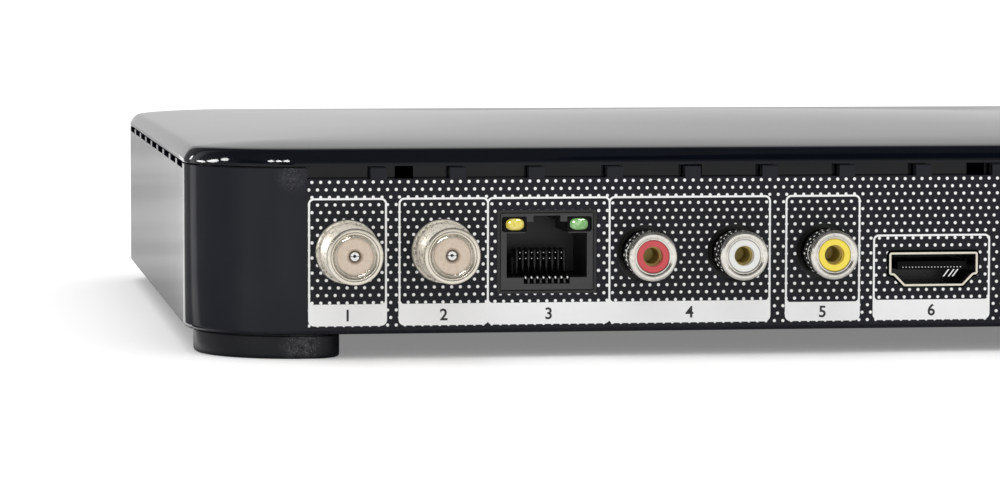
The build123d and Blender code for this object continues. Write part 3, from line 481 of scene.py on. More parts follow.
metalLooks = {
    "nickel": dict(colour=(0.90, 0.88, 0.83), shade=(0.80, 0.77, 0.70), dull=(0.5, 0.46, 0.38), tarnish=0.3,
                   grain=5.0, relief=0.04, rough=0.10, uneven=0.08, edge=0.08),
    # Black from its face inwards: painted shade inside the shell
    "shell_plate": dict(colour=(0.88, 0.84, 0.72), shade=(0.78, 0.72, 0.58), dull=(0.5, 0.45, 0.34),
                        tarnish=0.3, grain=6.0, relief=0.06, rough=0.2, uneven=0.1, edge=0.06, inside=89.42),
    "barrel_chrome": dict(colour=(0.92, 0.90, 0.85), shade=(0.74, 0.70, 0.61), dull=(0.40, 0.33, 0.22),
                          tarnish=0.5, grain=2.2, relief=0.03, rough=0.05, uneven=0.02, haze=0.03),
    "contact_silver": dict(colour=(0.93, 0.93, 0.92), shade=(0.85, 0.85, 0.84), dull=(0.6, 0.6, 0.58),
                           tarnish=0.2, grain=5.0, relief=0.05, rough=0.14, uneven=0.06),
    "contact_gold": dict(colour=(0.86, 0.68, 0.36), shade=(0.76, 0.58, 0.28), dull=(0.5, 0.38, 0.2),
                         tarnish=0.4, grain=6.0, relief=0.1, rough=0.2, uneven=0.1, edge=0.06),
    "throat_brass": dict(colour=(0.56, 0.46, 0.15), shade=(0.38, 0.29, 0.09), dull=(0.3, 0.23, 0.08),
                         tarnish=0.4, grain=4.0, relief=0.1, rough=0.32, uneven=0.1, metal=0.45),
    "tinned_steel": dict(colour=grey(0.66), shade=(0.56, 0.56, 0.57), dull=grey(0.4),
                         tarnish=0.35, grain=4.0, relief=0.1, rough=0.26, uneven=0.14, edge=0.08,
                         stretch=(1.0, 0.15, 1.0)),
    "screw_steel": dict(colour=(0.5, 0.5, 0.51), shade=(0.4, 0.4, 0.42), dull=(0.25, 0.24, 0.22),
                        tarnish=0.4, grain=6.0, relief=0.2, rough=0.32, uneven=0.16, edge=0.12),
    "sink_aluminium": dict(colour=(0.72, 0.73, 0.75), shade=(0.62, 0.63, 0.66), dull=grey(0.5),
                           tarnish=0.2, grain=4.0, relief=0.2, rough=0.34, uneven=0.14, edge=0.12,
                           stretch=(1.0, 0.1, 1.0)),
    "capacitor_sleeve": dict(colour=(0.6, 0.61, 0.63), shade=(0.52, 0.53, 0.55), dull=grey(0.4),
                             tarnish=0.2, grain=4.0, relief=0.15, rough=0.3, uneven=0.12, edge=0.2,
                             stretch=(1.0, 1.0, 0.1)),
}


board = {"mask": (0.012, 0.10, 0.035), "trace": (0.03, 0.2, 0.07), "tracePitch": 1.6, "weave": 6.0}


def boardFinish():
    look = board
    paint = newFinish("board_green")
    x, y, z = paint.axes()
    pitch = look["tracePitch"]
    traces = paint.step(abs(((x + paint.noise(0.05) * look["weave"]) % pitch) - pitch / 2), 0.5, 0.55)
    mask = traces * paint.step(paint.noise(0.12, 2.0), 0.48, 0.52)
    colour = paint.blend(mask, look["mask"], look["trace"])
    return paint.surface(colour, 0.3 + mask * 0.1, paint.bump(mask, 0.3, 0.03))


# The gap colour is painted shade in the grooves between the wires
ribbon = {"rib": (0.42, 0.43, 0.45), "gap": (0.22, 0.23, 0.25), "pitch": 1.27}


def ribbonFinish():
    look = ribbon
    paint = newFinish("ribbon_grey")
    x, y, z = paint.axes()
    wires = abs((x % look["pitch"]) - look["pitch"] / 2) / (look["pitch"] / 2)
    # Painted shade: darker in the grooves between the wires
    colour = paint.blend(paint.step(wires, 0.75, 0.95), look["rib"], look["gap"])
    return paint.surface(colour, 0.42 + paint.noise(1.2) * 0.1, paint.bump(1 - wires ** 2.0, 0.5, 0.2))


window = {"dark": (0.006, 0.006, 0.007), "hazy": (0.012, 0.012, 0.014), "solid": 0.9}


def windowFinish():
    paint = newFinish("window_smoke")
    haze = paint.noise(0.4, 4.0)
    colour = paint.blend(haze, window["dark"], window["hazy"])
    normal = paint.bump(haze, 0.02, 0.05, paint.rounded(0.2))
    return paint.surface(colour, 0.04 + haze * 0.03, normal, {"Alpha": window["solid"]})


labelPrint = {
    "film": (0.0092, 0.0099, 0.0132),
    "ink": grey(0.96),
    "pitch": 1.4695,
    "row": 1.263,
    "top": 29.75,  # height of the first row of dots
    "start": 0.26,  # where a dot of the first row lies
    "shift": 0.54,  # of every second row
    "dot": 0.265,  # radius
    "soft": 0.05,
    "wobble": 0.05,
    "ior": 1.27,
}


def labelFinish():
    look = labelPrint
    paint = newFinish("label_film")
    x, y, z = paint.axes()
    wobble = (paint.noise(1.3, 2.0) - 0.5) * look["wobble"]
    rowPlace = (z - look["top"]) / look["row"] + 0.5
    row = paint.math("FLOOR", rowPlace)
    odd = abs(row % 2.0)
    dz = (rowPlace - row - 0.5) * look["row"]
    dx = ((x - look["start"] - odd * look["shift"]) / look["pitch"] + 0.5) % 1.0
    dx = (dx - 0.5) * look["pitch"]
    away = (dx * dx + dz * dz) ** 0.5 + wobble
    dots = 1 - paint.step(away, look["dot"] - look["soft"], look["dot"] + look["soft"])
    cloud = paint.noise(0.35, 4.0)
    film = paint.blend(cloud, look["film"], [c * 1.5 for c in look["film"]])
    ink = paint.blend(paint.noise(2.5), look["ink"], [c * 0.93 for c in look["ink"]])
    normal = paint.bump(dots + paint.noise(6.0) * 0.25, 0.12, 0.02)
    rough = 0.3 + cloud * 0.08 + dots * 0.15
    return paint.surface(paint.blend(dots, film, ink), rough, normal, {"IOR": look["ior"]})


finishes = {name: moulded(name, look) for name, look in plasticLooks.items()}
finishes.update({name: plated(name, look) for name, look in metalLooks.items()})
finishes.update(
    board_green=boardFinish(), ribbon_grey=ribbonFinish(), window_smoke=windowFinish(),
    label_film=labelFinish(),
)
print("finishes made:", len(finishes))


# Mesh helpers

# A piece that rides on the case, named after its mesh
def newPiece(mesh, finish, stands=()):
    mesh.materials.clear()
    mesh.materials.append(finishes[finish])
    piece = bpy.data.objects.new(mesh.name, mesh)
    link(piece)
    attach(piece, "case")
    if stands:
        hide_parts(*stands)


def meshOf(name, points, faces, smooth=True):
    mesh = bpy.data.meshes.new(name)
    mesh.from_pydata([(x * mm, y * mm, z * mm) for x, y, z in points], [], faces)
    built = bmesh.new()
    built.from_mesh(mesh)
    bmesh.ops.remove_doubles(built, verts=built.verts, dist=1e-7)
    bmesh.ops.recalc_face_normals(built, faces=built.faces)
    built.to_mesh(mesh)
    built.free()
    mesh.polygons.foreach_set("use_smooth", [smooth] * len(mesh.polygons))
    return mesh


def crease(mesh, degrees=32.0):
    mesh.set_sharp_from_angle(angle=math.radians(degrees))
    return mesh


def arc(x, y, radius, start, end, steps):
    angles = [math.radians(start + (end - start) * k / steps) for k in range(steps + 1)]
    return [(x + radius * math.cos(a), y + radius * math.sin(a)) for a in angles]


# Points of a rounded rectangle, anticlockwise, with the same count for every size
def roundedRing(left, right, low, high, radius, cornerSteps=8, sideSteps=1):
    radius = max(min(radius, (right - left) / 2 - 1e-4, (high - low) / 2 - 1e-4), 1e-4)
    corners = [(right - radius, low + radius, -90), (right - radius, high - radius, 0),
               (left + radius, high - radius, 90), (left + radius, low + radius, 180)]
    arcs = [arc(x, y, radius, start, start + 90, cornerSteps) for x, y, start in corners]
    shares = [k / sideSteps for k in range(1, sideSteps)]
    points = []
    for bend, following in zip(arcs, arcs[1:] + arcs[:1]):
        (x0, y0), (x1, y1) = bend[-1], following[0]
        points += bend + [(x0 * (1 - t) + x1 * t, y0 * (1 - t) + y1 * t) for t in shares]
    return points


def bridge(loops, count, closed=False):
    faces = []
    pairs = len(loops) if closed else len(loops) - 1
    for j in range(pairs):
        a, b = loops[j], loops[(j + 1) % len(loops)]
        for i in range(count):
            k = (i + 1) % count
            faces.append((a + i, a + k, b + k, b + i))
    return faces


# Adds a solid: rings of points joined in order, the first and the last of them filled
def addSolid(points, faces, rings):
    count = len(rings[0])
    starts = [len(points) + count * i for i in range(len(rings))]
    for ring in rings:
        points += ring
    faces += bridge(starts, count)
    faces += [tuple(range(start, start + count)) for start in (starts[0], starts[-1])]


# Cover: a crowned lid with a rounded rim, and the skirt behind the air slots

cover = {
    "left": -111.5, "right": 111.5, "front": -100.675, "rear": 89.325,
    "corner": 19.0,
    "bottom": 32.4,
    "rise": 5.76,
    "frontDrop": 0.19,  # share by which the lid is lower at its front than at its rear
    "dropStart": 40.0, "dropLength": 125.0,
    # Inset from the outline and height above the bottom
    "rim": [(0.0, 0.3), (0.05, 0.6), (0.17, 0.9), (0.36, 1.3), (0.62, 1.75), (0.95, 2.2), (1.3, 2.53),
            (1.7, 2.75), (2.75, 2.94), (7.15, 3.33), (12.35, 3.67), (22.0, 4.05), (34.0, 4.3), (60.0, 4.45),
            (200.0, 4.5)],
    "hollow": [(0.0, 0.0), (5.0, 0.0), (5.6, 2.2), (30.0, 2.9), (80.0, 3.3)],
    # Rings of the mesh, close together where the rim curves
    "insets": [0, 0.02, 0.05, 0.1, 0.17, 0.26, 0.36, 0.5, 0.65, 0.8, 0.95, 1.1, 1.3, 1.5, 1.7, 2.1, 2.75, 3.6,
               4.8, 6.2, 8.5, 11.8, 14.5, 17.5, 22, 28, 35, 44, 54, 64, 74, 84, 92, 94, 94.8],
    "crownEdge": 17.5,  # where the crown starts, inset
    "softStart": 3.0, "softLength": 22.0,
    "skirtOut": 3.0, "skirtIn": 4.6, "skirtBottom": 28.0,
    "notches": [-73.4, -23.4, 26.6, 76.6], "notchWidth": 4.0,
    "posts": [(97.9, 75.725), (88.0, -86.275), (-97.9, 75.725), (-88.0, -86.275)],
    "postRadius": 3.6, "postBottom": 20.2, "postTop": 33.4, "postSides": 32,
}


# Smooth curve through the rim's points that never overshoots
def curveThrough(table):
    xs, ys = zip(*table)
    slopes = [(ys[i + 1] - ys[i]) / (xs[i + 1] - xs[i]) for i in range(len(xs) - 1)]
    tangents = [slopes[0] * 1.6]
    for a, b in zip(slopes, slopes[1:]):
        tangents.append(0.0 if a * b <= 0 else 2 * a * b / (a + b))
    tangents.append(slopes[-1])

    def value(x):
        i = 0
        while i < len(xs) - 2 and x > xs[i + 1]:
            i += 1
        h = xs[i + 1] - xs[i]
        t = (x - xs[i]) / h
        return (
            ys[i] * (2 * t ** 3 - 3 * t ** 2 + 1) + h * tangents[i] * (t ** 3 - 2 * t ** 2 + t)
            + ys[i + 1] * (3 * t ** 2 - 2 * t ** 3) + h * tangents[i + 1] * (t ** 3 - t ** 2)
        )
    return value


rimHeight = curveThrough(cover["rim"])


def coverRing(inset, sideSteps=14):
    c = cover
    sides = (c["left"] + inset, c["right"] - inset, c["front"] + inset, c["rear"] - inset)
    return roundedRing(*sides, max(c["corner"] - inset, 1.5), 20, sideSteps)


def coverTop(x, y, inset):
    c = cover
    midY = (c["front"] + c["rear"]) / 2
    halfDeep = (c["rear"] - c["front"]) / 2
    across = min(abs(x) / (c["right"] - c["crownEdge"]), 1.0)
    along = min(abs(y - midY) / (halfDeep - c["crownEdge"]), 1.0)
    crown = (1 - across ** 2) ** 2 * (1 - along ** 2) ** 2
    extra = c["rise"] - c["rim"][-1][1]
    # Further in, the height lines round the corners more and more
    ends = [c["right"] - abs(x), halfDeep - abs(y - midY)]
    soft = sum(max(end, 0.01) ** -3 for end in ends) ** (-1 / 3)
    share = min(max((inset - c["softStart"]) / c["softLength"], 0.0), 1.0)
    share = share * share * (3 - 2 * share)
    inset = inset * (1 - share) + soft * share
    drop = c["frontDrop"] * min(max((c["dropStart"] - y) / c["dropLength"], 0.0), 1.0) ** 1.2
    return c["bottom"] + rimHeight(inset) * (1 - drop) + extra * crown


def makeCover():
    c = cover
    points, faces = [], []
    rings = [[(x, y, coverTop(x, y, inset)) for x, y in coverRing(inset)] for inset in c["insets"]]
    rings.reverse()
    rings += [[(x, y, c["bottom"] + rise) for x, y in coverRing(inset)] for inset, rise in c["hollow"]]
    addSolid(points, faces, rings)

    # Skirt, in runs between its notches
    outside = coverRing(c["skirtOut"], 60)
    inside = coverRing(c["skirtIn"], 60)
    rearPlace = c["rear"] - c["skirtOut"] - 0.01

    def isNotch(x, y):
        return y > rearPlace and any(abs(x - at) < c["notchWidth"] / 2 for at in c["notches"])

    def section(k):
        low, high = c["skirtBottom"], c["bottom"] + 0.05
        return [(*outside[k], low), (*outside[k], high), (*inside[k], high), (*inside[k], low)]

    pairs = zip(outside, outside[1:] + outside[:1])
    gaps = [isNotch((a[0] + b[0]) / 2, (a[1] + b[1]) / 2) for a, b in pairs]
    start = gaps.index(True)
    run = []
    for i in [(start + k) % len(outside) for k in range(len(outside))] + [start]:
        if not gaps[i]:
            run.append(i)
        elif run:
            addSolid(points, faces, [section(k) for k in run + [i]])
            run = []

    # Posts over the tray's bosses
    for px, py in c["posts"]:
        outline = arc(px, py, c["postRadius"], 0, 360, c["postSides"])[:-1]
        addSolid(points, faces, [[(x, y, z) for x, y in outline] for z in (c["postBottom"], c["postTop"])])
    newPiece(crease(meshOf("lid", points, faces), 40), "cover_gloss", stands=["top_cover"])


makeCover()
print("cover made")


# Frames, bands and numbers printed on the label

printFace = 89.475
printed = {
    "line": 0.34,
    "proud": 0.015, "lift": 0.004, "bandDrop": 0.006,
    "round": 1.0,
    "bandBottom": 5.6,
    "numberHeight": 1.9, "numberThick": 0.01, "numberBold": 0.055,
    "frames": [  # name, left, right, top, top of the band
        ("1", 78.78, 92.03, 27.1, 9.3), ("2", 61.55, 76.84, 27.1, 9.3), ("3", 40.84, 61.89, 27.1, 9.3),
        ("4", 13.27, 41.18, 27.1, 9.3), ("5", -2.29, 10.75, 27.1, 8.9), ("6", -25.01, -4.52, 20.25, 9.1),
        ("7", -41.8, -28.8, 27.1, 9.0), ("8", -62.0, -44.6, 20.3, 9.0), ("9", -76.0, -64.5, 27.1, 9.0),
        ("10", -91.0, -78.5, 27.1, 9.0),
    ],
}


# Colour of each ink and how uneven it is
inks = {
    "print_white": (grey(0.93), 0.12), "print_grey": ((0.74, 0.73, 0.74), 0.2),
    "print_black": ((0.02, 0.02, 0.022), 0.3),
}


def inkFinish(name, colour, speck):
    paint = newFinish(name)
    cloud = paint.noise(1.1, 5.0, 0.65)
    shade = paint.blend(cloud * speck, colour, [c * 0.72 for c in colour])
    return paint.surface(shade, 0.42 + cloud * 0.1, paint.bump(cloud, 0.1, 0.02))


# Sheets from one outline each, or frames from an outer and an inner one, with their lift
def printMesh(name, loopSets, proud, finish):
    points, faces = [], []
    for loops, lift in loopSets:
        front, back = ([[(x, y, z) for x, z in loop] for loop in loops]
                       for y in (printFace + proud + lift, printFace - 0.01))
        if len(loops) == 1:
            addSolid(points, faces, front + back)
        else:
            count = len(front[0])
            starts = [len(points) + count * i for i in range(4)]
            points += front[0] + front[1] + back[1] + back[0]
            faces += bridge(starts, count, closed=True)
    newPiece(meshOf(name, points, faces, smooth=False), finish)


# A band with square top corners and rounded lower ones
def bandLoop(left, right, low, high):
    radius = printed["round"] * 0.9
    points = [(right, high), (left, high)]
    for x, start in ((left + radius, 180), (right - radius, 270)):
        points += arc(x, low + radius, radius, start, start + 90, 8)
    return points


def makePrint():
    frames, bands = [], []
    line, proud, low = (printed[k] for k in ("line", "proud", "bandBottom"))
    for name, left, right, top, band in printed["frames"]:
        outer = roundedRing(left, right, low + 0.05, top, printed["round"])
        inner = roundedRing(left + line, right - line, band - 0.05, top - line, printed["round"] - line)
        # Neighbours share a line, so every second frame lies a little prouder
        frames.append(([outer, inner], printed["lift"] * (int(name) % 2)))
        inset = line * 0.9
        bands.append(([bandLoop(left + inset, right - inset, low + inset, band)], 0.0))
    printMesh("rear_frames", frames, proud, "print_white")
    proud -= printed["bandDrop"]
    printMesh("rear_bands", bands, proud, "print_grey")

    turn = Matrix(((-1, 0, 0), (0, 0, 1), (0, 1, 0))).to_4x4()
    height = printed["numberHeight"]
    for name, left, right, top, band in printed["frames"]:
        words = bpy.data.curves.new(f"rear_number_{name}", "FONT")
        words.body = name
        words.size = height * mm / 0.7
        words.align_x = "CENTER"
        words.extrude = printed["numberThick"] * mm
        words.offset = printed["numberBold"] * mm
        middle = Vector(((left + right) / 2, printFace + proud + 0.012, (low + band) / 2 - height / 2))
        holder = bpy.data.objects.new(words.name, words)
        mesh = bpy.data.meshes.new_from_object(holder)
        mesh.name = words.name
        bpy.data.objects.remove(holder)
        mesh.transform(Matrix.Translation(middle * mm) @ turn)
        newPiece(mesh, "print_black")


finishes.update({name: inkFinish(name, *ink) for name, ink in inks.items()})
makePrint()
print("label printed")


# Turned pieces: the profile is a list of (place along the socket's axis, radius)

def turnedMesh(name, x, z, profile, sides=96, ripple=None):
    points = []
    for y, radius in profile:
        for k in range(sides):
            a = 2 * math.pi * k / sides
            r = radius + (ripple(y, radius, a) if ripple else 0.0)
            points.append((x + r * math.cos(a), y, z + r * math.sin(a)))
    starts = [sides * i for i in range(len(profile))]
    return meshOf(name, points, bridge(starts, sides, closed=True))


# Threaded coaxial sockets: collar, fine thread, and a face with rings round the insulator

coax = {
    "places": {"loop": 85.45, "lnb": 69.3}, "z": 18.1,
    "back": 87.2, "collarFace": 91.075, "tip": 101.475, "insulatorFace": 101.125,
    "collar": 5.3, "thread": 4.72, "threadDepth": 0.13, "threadPitch": 0.79, "threadEnd": 100.3,
    "bore": 3.3, "lipReach": 3.1, "lipWaver": 0.035,
    # Rings of the face: depth behind the tip, radius
    "face": [(0, 4.16), (0.05, 4.1), (0.3, 4.07), (0.3, 3.99), (0.05, 3.96), (0, 3.9), (0, 3.82),
             (0.04, 3.76), (0.12, 3.68), (0.24, 3.58), (0.34, 3.46), (0.38, 3.38), (0.22, 3.33), (0.17, 3.24),
             (0.22, 3.14)],
    "contactBack": 97.4, "contactTip": 100.75, "contactRadius": 0.93, "funnel": 1.3,
    # Spring leaves of the contact: where they start and end round the axis, inner radius
    "leaves": [(184, 356, 0.08), (8, 172, 0.16)],
}

coaxLook = {
    "metal": (0.93, 0.88, 0.78), "metalShade": (0.82, 0.76, 0.64), "worn": (0.62, 0.56, 0.45),
    # Dark of the pits, and of the painted shade in the face's rings and at the thread's root
    "pit": (0.17, 0.14, 0.10), "grooveShade": (0.13, 0.11, 0.08),
    "tan": (0.52, 0.41, 0.31), "tanPale": (0.74, 0.62, 0.51), "fleck": (0.84, 0.74, 0.64),
    # Brown of the painted shade round the contact's hole, and how far out it reaches
    "holeShade": (0.24, 0.17, 0.11), "holeShadeReach": 1.5,
}


def coaxProfile():
    c = coax
    tip, wide, face = c["tip"], c["collar"], c["collarFace"]
    top, deep = c["thread"], c["thread"] - c["threadDepth"]
    profile = [(c["back"], wide - 0.25), (c["back"] + 0.2, wide), (face - 0.35, wide),
               (face - 0.1, wide - 0.12), (face, wide - 0.35), (face, top + 0.02)]
    y = face + 0.1
    while y < c["threadEnd"] - c["threadPitch"]:
        for share, radius in ((0.0, deep), (0.18, deep), (0.45, top), (0.72, top)):
            profile.append((y + share * c["threadPitch"], radius))
        y += c["threadPitch"]
    profile += [(y, deep), (y + 0.15, top - 0.02), (tip - 0.4, top - 0.02), (tip - 0.2, top - 0.07),
                (tip - 0.07, top - 0.2), (tip, top - 0.42)]
    profile += [(tip - depth, radius) for depth, radius in c["face"]]
    profile += [(c["insulatorFace"] + 0.01, c["lipReach"]), (c["insulatorFace"] + 0.005, c["bore"] - 0.01)]
    return profile + [(c["back"], c["bore"] - 0.005)]


def makeCoax(name, x):
    c = coax
    chance = random.Random(name)
    waves = [(chance.uniform(0.3, 1.0), n, chance.uniform(0, 6.28)) for n in (2, 3, 5, 7, 11, 17)]

    # The inner lip is a little uneven all the way round
    def ripple(y, radius, angle):
        if y > c["tip"] - 0.5 and c["bore"] - 0.25 < radius < 3.5:
            return c["lipWaver"] * sum(size * math.sin(n * angle + shift) for size, n, shift in waves)
        return 0.0

    mesh = crease(turnedMesh(f"{name}_socket", x, c["z"], coaxProfile(), 128, ripple), 24)
    newPiece(mesh, "barrel_nickel", stands=[f"{name}_barrel"])

    # Funnel in the hole of the insulator, down to the contact
    face, wide, narrow = c["insulatorFace"] - 0.06, c["funnel"], c["contactRadius"] + 0.03
    profile = [(face, wide), (face, wide - 0.06), (face - 0.25, narrow), (face - 0.6, narrow),
               (face - 0.6, wide)]
    mesh = crease(turnedMesh(f"{name}_funnel", x, c["z"], profile, 48), 50)
    newPiece(mesh, "insulator_tan")

    # Spring leaves, as the outline of one swept round the axis
    points, faces = [], []
    back, tip, outer = c["contactBack"], c["contactTip"], c["contactRadius"]
    for start, end, inner in c["leaves"]:
        outline = [(back, inner), (back, outer), (tip - 0.3, outer), (tip - 0.08, outer - 0.08),
                   (tip, outer - 0.22), (tip - 0.05, inner + 0.16), (tip - 0.35, inner)]
        turns = arc(0, 0, 1, start, end, 20)
        addSolid(points, faces, [[(x + r * u, y, c["z"] + r * v) for y, r in outline] for u, v in turns])
    mesh = crease(meshOf(f"{name}_leaves", points, faces), 30)
    newPiece(mesh, "contact_silver", stands=[f"{name}_contact"])


# Tan disc, with painted shade in brown round the contact's hole and along its edge under the lip
def insulatorFinish():
    look = coaxLook
    paint = newFinish("insulator_disc")
    x, y, z = paint.axes()
    height = z - coax["z"]
    reaches = [((x - place) ** 2.0 + height * height) ** 0.5 for place in coax["places"].values()]
    away = paint.math("MINIMUM", *reaches)
    cloud = paint.noise(1.5, 4.0, 0.6)
    flecks = paint.step(paint.noise(4.5, 3.0), 0.56, 0.68)
    # Painted shade: brown round the hole and along the edge under the lip
    holeShade = 1 - paint.step(away + (cloud - 0.5) * 0.3, look["holeShadeReach"] * 0.7, look["holeShadeReach"])
    edge = paint.step(away, coax["lipReach"] - 0.35, coax["lipReach"])
    colour = paint.blend(cloud, look["tan"], look["tanPale"])
    colour = paint.blend(flecks * 0.35, colour, look["fleck"])
    colour = paint.blend(holeShade * 0.75 + edge * 0.35, colour, look["holeShade"])
    return paint.surface(colour, 0.42 + cloud * 0.1, paint.bump(cloud + flecks * 0.3, 0.3, 0.03))


# Nickel with the fine dark pits of a rolled thread on its side, and clean on its face
def barrelFinish():
    look = coaxLook
    paint = newFinish("barrel_nickel")
    x, y, z = paint.axes()
    side = 1 - paint.step(y, coax["tip"] - 0.45, coax["tip"] - 0.15)
    pits = paint.noise(1.7, 6.0, 0.8)
    pitted = paint.step(pits, 0.52, 0.58) * side
    cloud = paint.noise(0.45, 4.0, 0.6)
    colour = paint.blend(cloud, look["metal"], look["metalShade"])
    colour = paint.blend(pitted * 0.85, colour, look["pit"])
    # Painted shade: dark in the rings of the face and where the thread meets the collar
    grooveShade = paint.step(coax["tip"] - y, 0.1, 0.28) * (1 - side)
    rootShade = 1 - paint.step(abs(y - coax["collarFace"] - 0.12), 0.08, 0.3)
    colour = paint.blend(grooveShade * 0.7 + rootShade * 0.4, colour, look["grooveShade"])
    worn = paint.step(paint.noise(1.1, 4.0), 0.55, 0.7) * 0.3
    colour = paint.blend(worn, colour, look["worn"])
    rough = 0.16 + side * 0.22 + pitted * 0.2 + paint.noise(5.0) * 0.08
    return paint.surface(colour, rough, paint.bump(pits, side * 0.5, 0.05), {"Metallic": 1 - side * 0.7})


finishes.update(insulator_tan=insulatorFinish(), barrel_nickel=barrelFinish())
for name, place in coax["places"].items():
    makeCoax(name, place)
shineOn(lidSparks, [bpy.data.objects[name] for name in ("lid", "loop_socket", "lnb_socket")])
print("coaxial sockets made")


# Phono sockets: smooth chromed barrels with a rolled lip

phono = {
    "places": {"audio_right": 34.95, "audio_left": 19.4, "video": 3.95, "digital": -35.3}, "z": 17.4,
    "back": 87.2, "tip": 97.475, "lip": 4.17, "shank": 4.06, "bore": 2.74,
    "throatFront": 95.4, "throatBack": 90.5, "throatOuter": 1.61, "throatInner": 1.3,
    "roll": 0.62,  # radius of the rolled lip
    # Ring that holds the insert: depth behind the tip, radius
    "ring": [(0.07, 3.2), (0.17, 3.07), (0.2, 3.03), (0.15, 2.98), (0.15, 2.84), (0.2, 2.78)],
}


def phonoProfile():
    p = phono
    tip, shank, lip, roll = (p[k] for k in ("tip", "shank", "lip", "roll"))
    profile = [(p["back"], shank - 0.2), (p["back"] + 0.2, shank), (tip - 1.9, shank),
               (tip - 1.75, shank - 0.04), (tip - 1.55, lip - 0.03)]
    profile += arc(tip - roll, lip - roll, roll, 90, -12, 16)
    profile += [(tip - depth, radius) for depth, radius in p["ring"]]
    return profile + [(tip - 0.34, p["bore"]), (p["back"], p["bore"])]


# Brass sleeve with a closed end, in the hole of the insert
def throatProfile():
    front, back, outer, inner = (phono[f"throat{k}"] for k in ("Front", "Back", "Outer", "Inner"))
    return [(back, 0.02), (back, inner - 0.1), (back + 0.15, inner), (front - 0.12, inner),
            (front - 0.02, inner + 0.07), (front, inner + 0.15), (front - 0.05, outer), (back - 0.3, outer),
            (back - 0.3, 0.02)]


for name, place in phono["places"].items():
    mesh = crease(turnedMesh(f"{name}_socket", place, phono["z"], phonoProfile(), 112), 40)
    newPiece(mesh, "barrel_chrome", stands=[f"{name}_barrel"])
    mesh = crease(turnedMesh(f"{name}_throat", place, phono["z"], throatProfile(), 64), 40)
    newPiece(mesh, "throat_brass")
print("phono sockets made")


# Network socket: trim in the label's opening, domed lights, ribs, contact tips and comb

network = {
    "middle": 51.65, "face": 89.175,
    "left": 43.78, "right": 59.52, "bottom": 11.4, "top": 24.3,
    "margin": 0.63, "trimFace": 89.3, "trimBack": 88.6,
    "lights": {"yellow": 57.1, "green": 46.2},
    # Half the width and height of the lights and of the windows behind them
    "lightZ": 22.45, "lightWide": 1.68, "lightTall": 1.08, "windowWide": 2.0, "windowTall": 1.3,
    "lightBulge": 0.6, "lightSquare": 0.72,  # below 1 is squarer than an oval
    "lightColours": {"yellow": ((0.72, 0.56, 0.03), (0.95, 0.86, 0.3)),
                     "green": ((0.16, 0.42, 0.12), (0.5, 0.78, 0.4))},
    "contacts": 8, "pitch": 1.02, "tipZ": 13.5, "slotBottom": 12.45,
    "combBack": 78.0, "combFace": 82.4, "combBottom": 13.5, "combTop": 17.8, "glintZ": (17.2, 16.2),
}


# Equal bars in a row: left, right, back, face, bottom and top of each
def barRow(middle, pitch, count, wide, *others):
    starts = [middle + (k - (count - 1) / 2) * pitch - wide / 2 for k in range(count)]
    return [(start, start + wide, *others) for start in starts]


# Small bars with rounded front edges in one mesh
def barsMesh(name, bars, bevel):
    points, faces = [], []
    for left, right, back, face, bottom, top in bars:
        rings = []
        for y, inset in ((back, 0.0), (face - bevel, 0.0), (face, bevel)):
            sides = (left + inset, right - inset, bottom + inset, top - inset)
            ring = roundedRing(*sides, max(bevel * 1.5 - inset, 0.02), 2)
            rings.append([(x, y, z) for x, z in ring])
        addSolid(points, faces, rings)
    return crease(meshOf(name, points, faces), 30)


def lightFinish(name, middle, deep, pale):
    paint = newFinish(name)
    x, y, z = paint.axes()
    inner = paint.step(paint.noise(1.4, 3.0), 0.35, 0.65)
    # Painted shade: darker towards the edge of the dome
    across = (x - middle) / network["lightWide"]
    up = (z - network["lightZ"]) / network["lightTall"]
    rim = paint.step(across * across + up * up, 0.35, 1.15)
    colour = paint.blend(inner * 0.6, deep, pale)
    colour = paint.blend(rim * 0.8, colour, [c * 0.35 for c in deep])
    more = {"Coat Weight": 0.6, "Emission Color": colour, "Emission Strength": 0.08}
    return paint.surface(colour, 0.06 + inner * 0.04, paint.bump(paint.noise(2.0, 2.0), 0.1, 0.05), more)


# A squarish oval, domed outwards
def domeMesh(name, x, z):
    n = network
    points, faces, rings = [], [], []
    steps = 10
    for j in range(steps + 1):
        t = math.pi / 2 * j / steps
        y = n["face"] - 0.25 + n["lightBulge"] * math.sin(t)
        ring = []
        reach = math.cos(t) ** 0.8
        for turn in arc(0, 0, 1, 0, 360, 40)[:-1]:
            u, v = (math.copysign(abs(side) ** n["lightSquare"], side) * reach for side in turn)
            ring.append((x + n["lightWide"] * u, y, z + n["lightTall"] * v))
        rings.append(ring)
    addSolid(points, faces, rings)
    return meshOf(name, points, faces)


def networkTrim():
    n = network

    def ring(grow, radius, y):
        sides = (n["left"] - grow, n["right"] + grow, n["bottom"] - grow, n["top"] + grow)
        return [(x, y, z) for x, z in roundedRing(*sides, radius, 4)]

    back, face, margin = n["trimBack"], n["trimFace"], n["margin"]
    rings = [ring(margin, 0.35, back), ring(margin, 0.35, face), ring(0.16, 0.3, face),
             ring(0.04, 0.25, face - 0.16), ring(0.04, 0.25, back)]
    count = len(rings[0])
    faces = bridge([count * i for i in range(5)], count, closed=True)
    newPiece(crease(meshOf("network_trim", sum(rings, []), faces), 25), "socket_black")


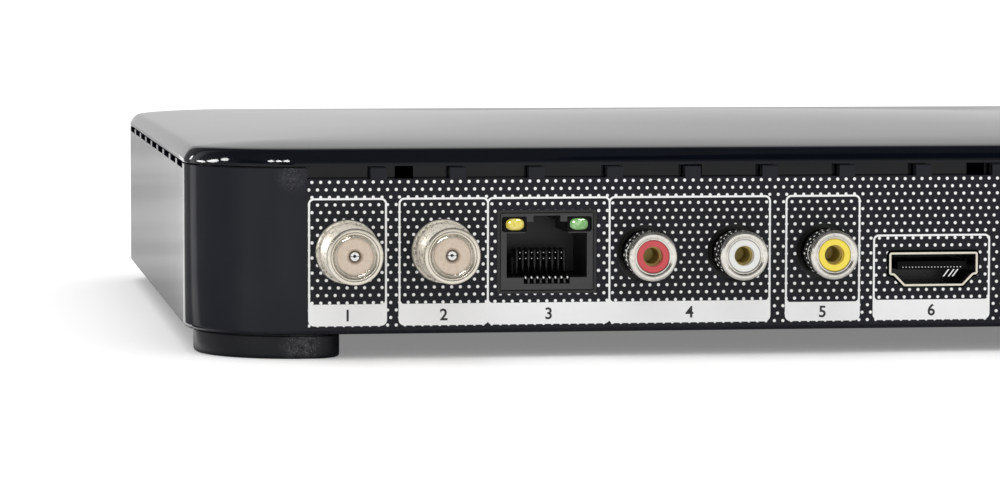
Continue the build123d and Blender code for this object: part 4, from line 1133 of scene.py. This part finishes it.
def makeNetwork():
    n = network
    networkTrim()
    face, z, wide, tall = (n[k] for k in ("face", "lightZ", "windowWide", "windowTall"))
    # Near-black plates behind the lights: painted shade for the recess each light sits in
    bars = [(x - wide, x + wide, face - 0.4, face + 0.012, z - tall, z + tall) for x in n["lights"].values()]
    newPiece(barsMesh("network_windows", bars, 0.01), "recess_black")
    for tint, x in n["lights"].items():
        finishes[f"light_{tint}"] = lightFinish(f"light_{tint}", x, *n["lightColours"][tint])
        mesh = domeMesh(f"network_light_{tint}", x, z)
        newPiece(mesh, f"light_{tint}", stands=[f"ethernet_led_{tint}"])

    count = n["contacts"]
    place = (n["middle"], n["pitch"])
    ribs = barRow(*place, count + 1, 0.34, face - 2.5, face - 0.05, n["slotBottom"] - 0.02, n["tipZ"] - 0.15)
    newPiece(barsMesh("network_ribs", ribs, 0.05), "socket_grey")
    tips = barRow(*place, count, 0.4, face - 1.6, face - 0.12, n["tipZ"] - 0.35, n["tipZ"] + 0.22)
    newPiece(barsMesh("network_tips", tips, 0.12), "contact_silver")
    comb = n["combFace"]
    teeth = barRow(*place, count + 1, n["pitch"] / 2, n["combBack"], comb, n["combBottom"], n["combTop"])
    newPiece(barsMesh("network_comb", teeth, 0.14), "rocker_black")
    rows = [barRow(*place, count, 0.18, comb - 0.1, comb + 0.06, z - 0.09, z + 0.09) for z in n["glintZ"]]
    newPiece(barsMesh("network_glints", sum(rows, []), 0.03), "contact_silver")


makeNetwork()
shineOn(lightGlints, [bpy.data.objects[f"network_light_{tint}"] for tint in network["lights"]])
print("network socket finished")


# Television socket: a row of contacts on its tongue, and springs behind the lower edge of its shell

tongue = {"middle": -15.05, "pitch": 0.56, "count": 19, "wide": 0.24,
          "back": 88.275, "face": 88.525, "bottom": 14.43, "top": 14.67}
springs = {"places": (-17.3, -18.2, -18.9), "lean": -1.1, "bottom": 12.85, "top": 14.3,
           "wide": 0.26, "back": 87.6, "thick": 0.12}


def makeSprings():
    points, faces = [], []
    low, high = springs["bottom"], springs["top"]
    for x in springs["places"]:
        left, right = x - springs["wide"] / 2, x + springs["wide"] / 2
        lean = springs["lean"]
        outline = [(left, low), (right, low), (right + lean, high), (left + lean, high)]
        depths = (springs["back"], springs["back"] + springs["thick"])
        addSolid(points, faces, [[(px, y, pz) for px, pz in outline] for y in depths])
    newPiece(meshOf("hdmi_springs", points, faces, smooth=False), "contact_silver")


newPiece(barsMesh("hdmi_row", barRow(*tongue.values()), 0.05), "contact_silver")
makeSprings()
print("television socket finished")


# The frame's own nodes take the finish of their slot, or the one given here
nodeFinishes = {
    "hdmi_shell": "shell_plate", "usb_shell": "shell_plate",
    # The network socket's contacts take near-black as painted shade deep in the socket
    "hdmi_tongue": "recess_black", "usb_tongue": "recess_black", "ethernet_contacts": "recess_black",
}
for part in frame["record"]["subparts"]:
    node = part["node"]
    mesh = nodes[node].data
    mesh.materials.clear()
    mesh.materials.append(finishes[nodeFinishes.get(node, part["material_slot"])])
print("finishes on the frame's nodes")
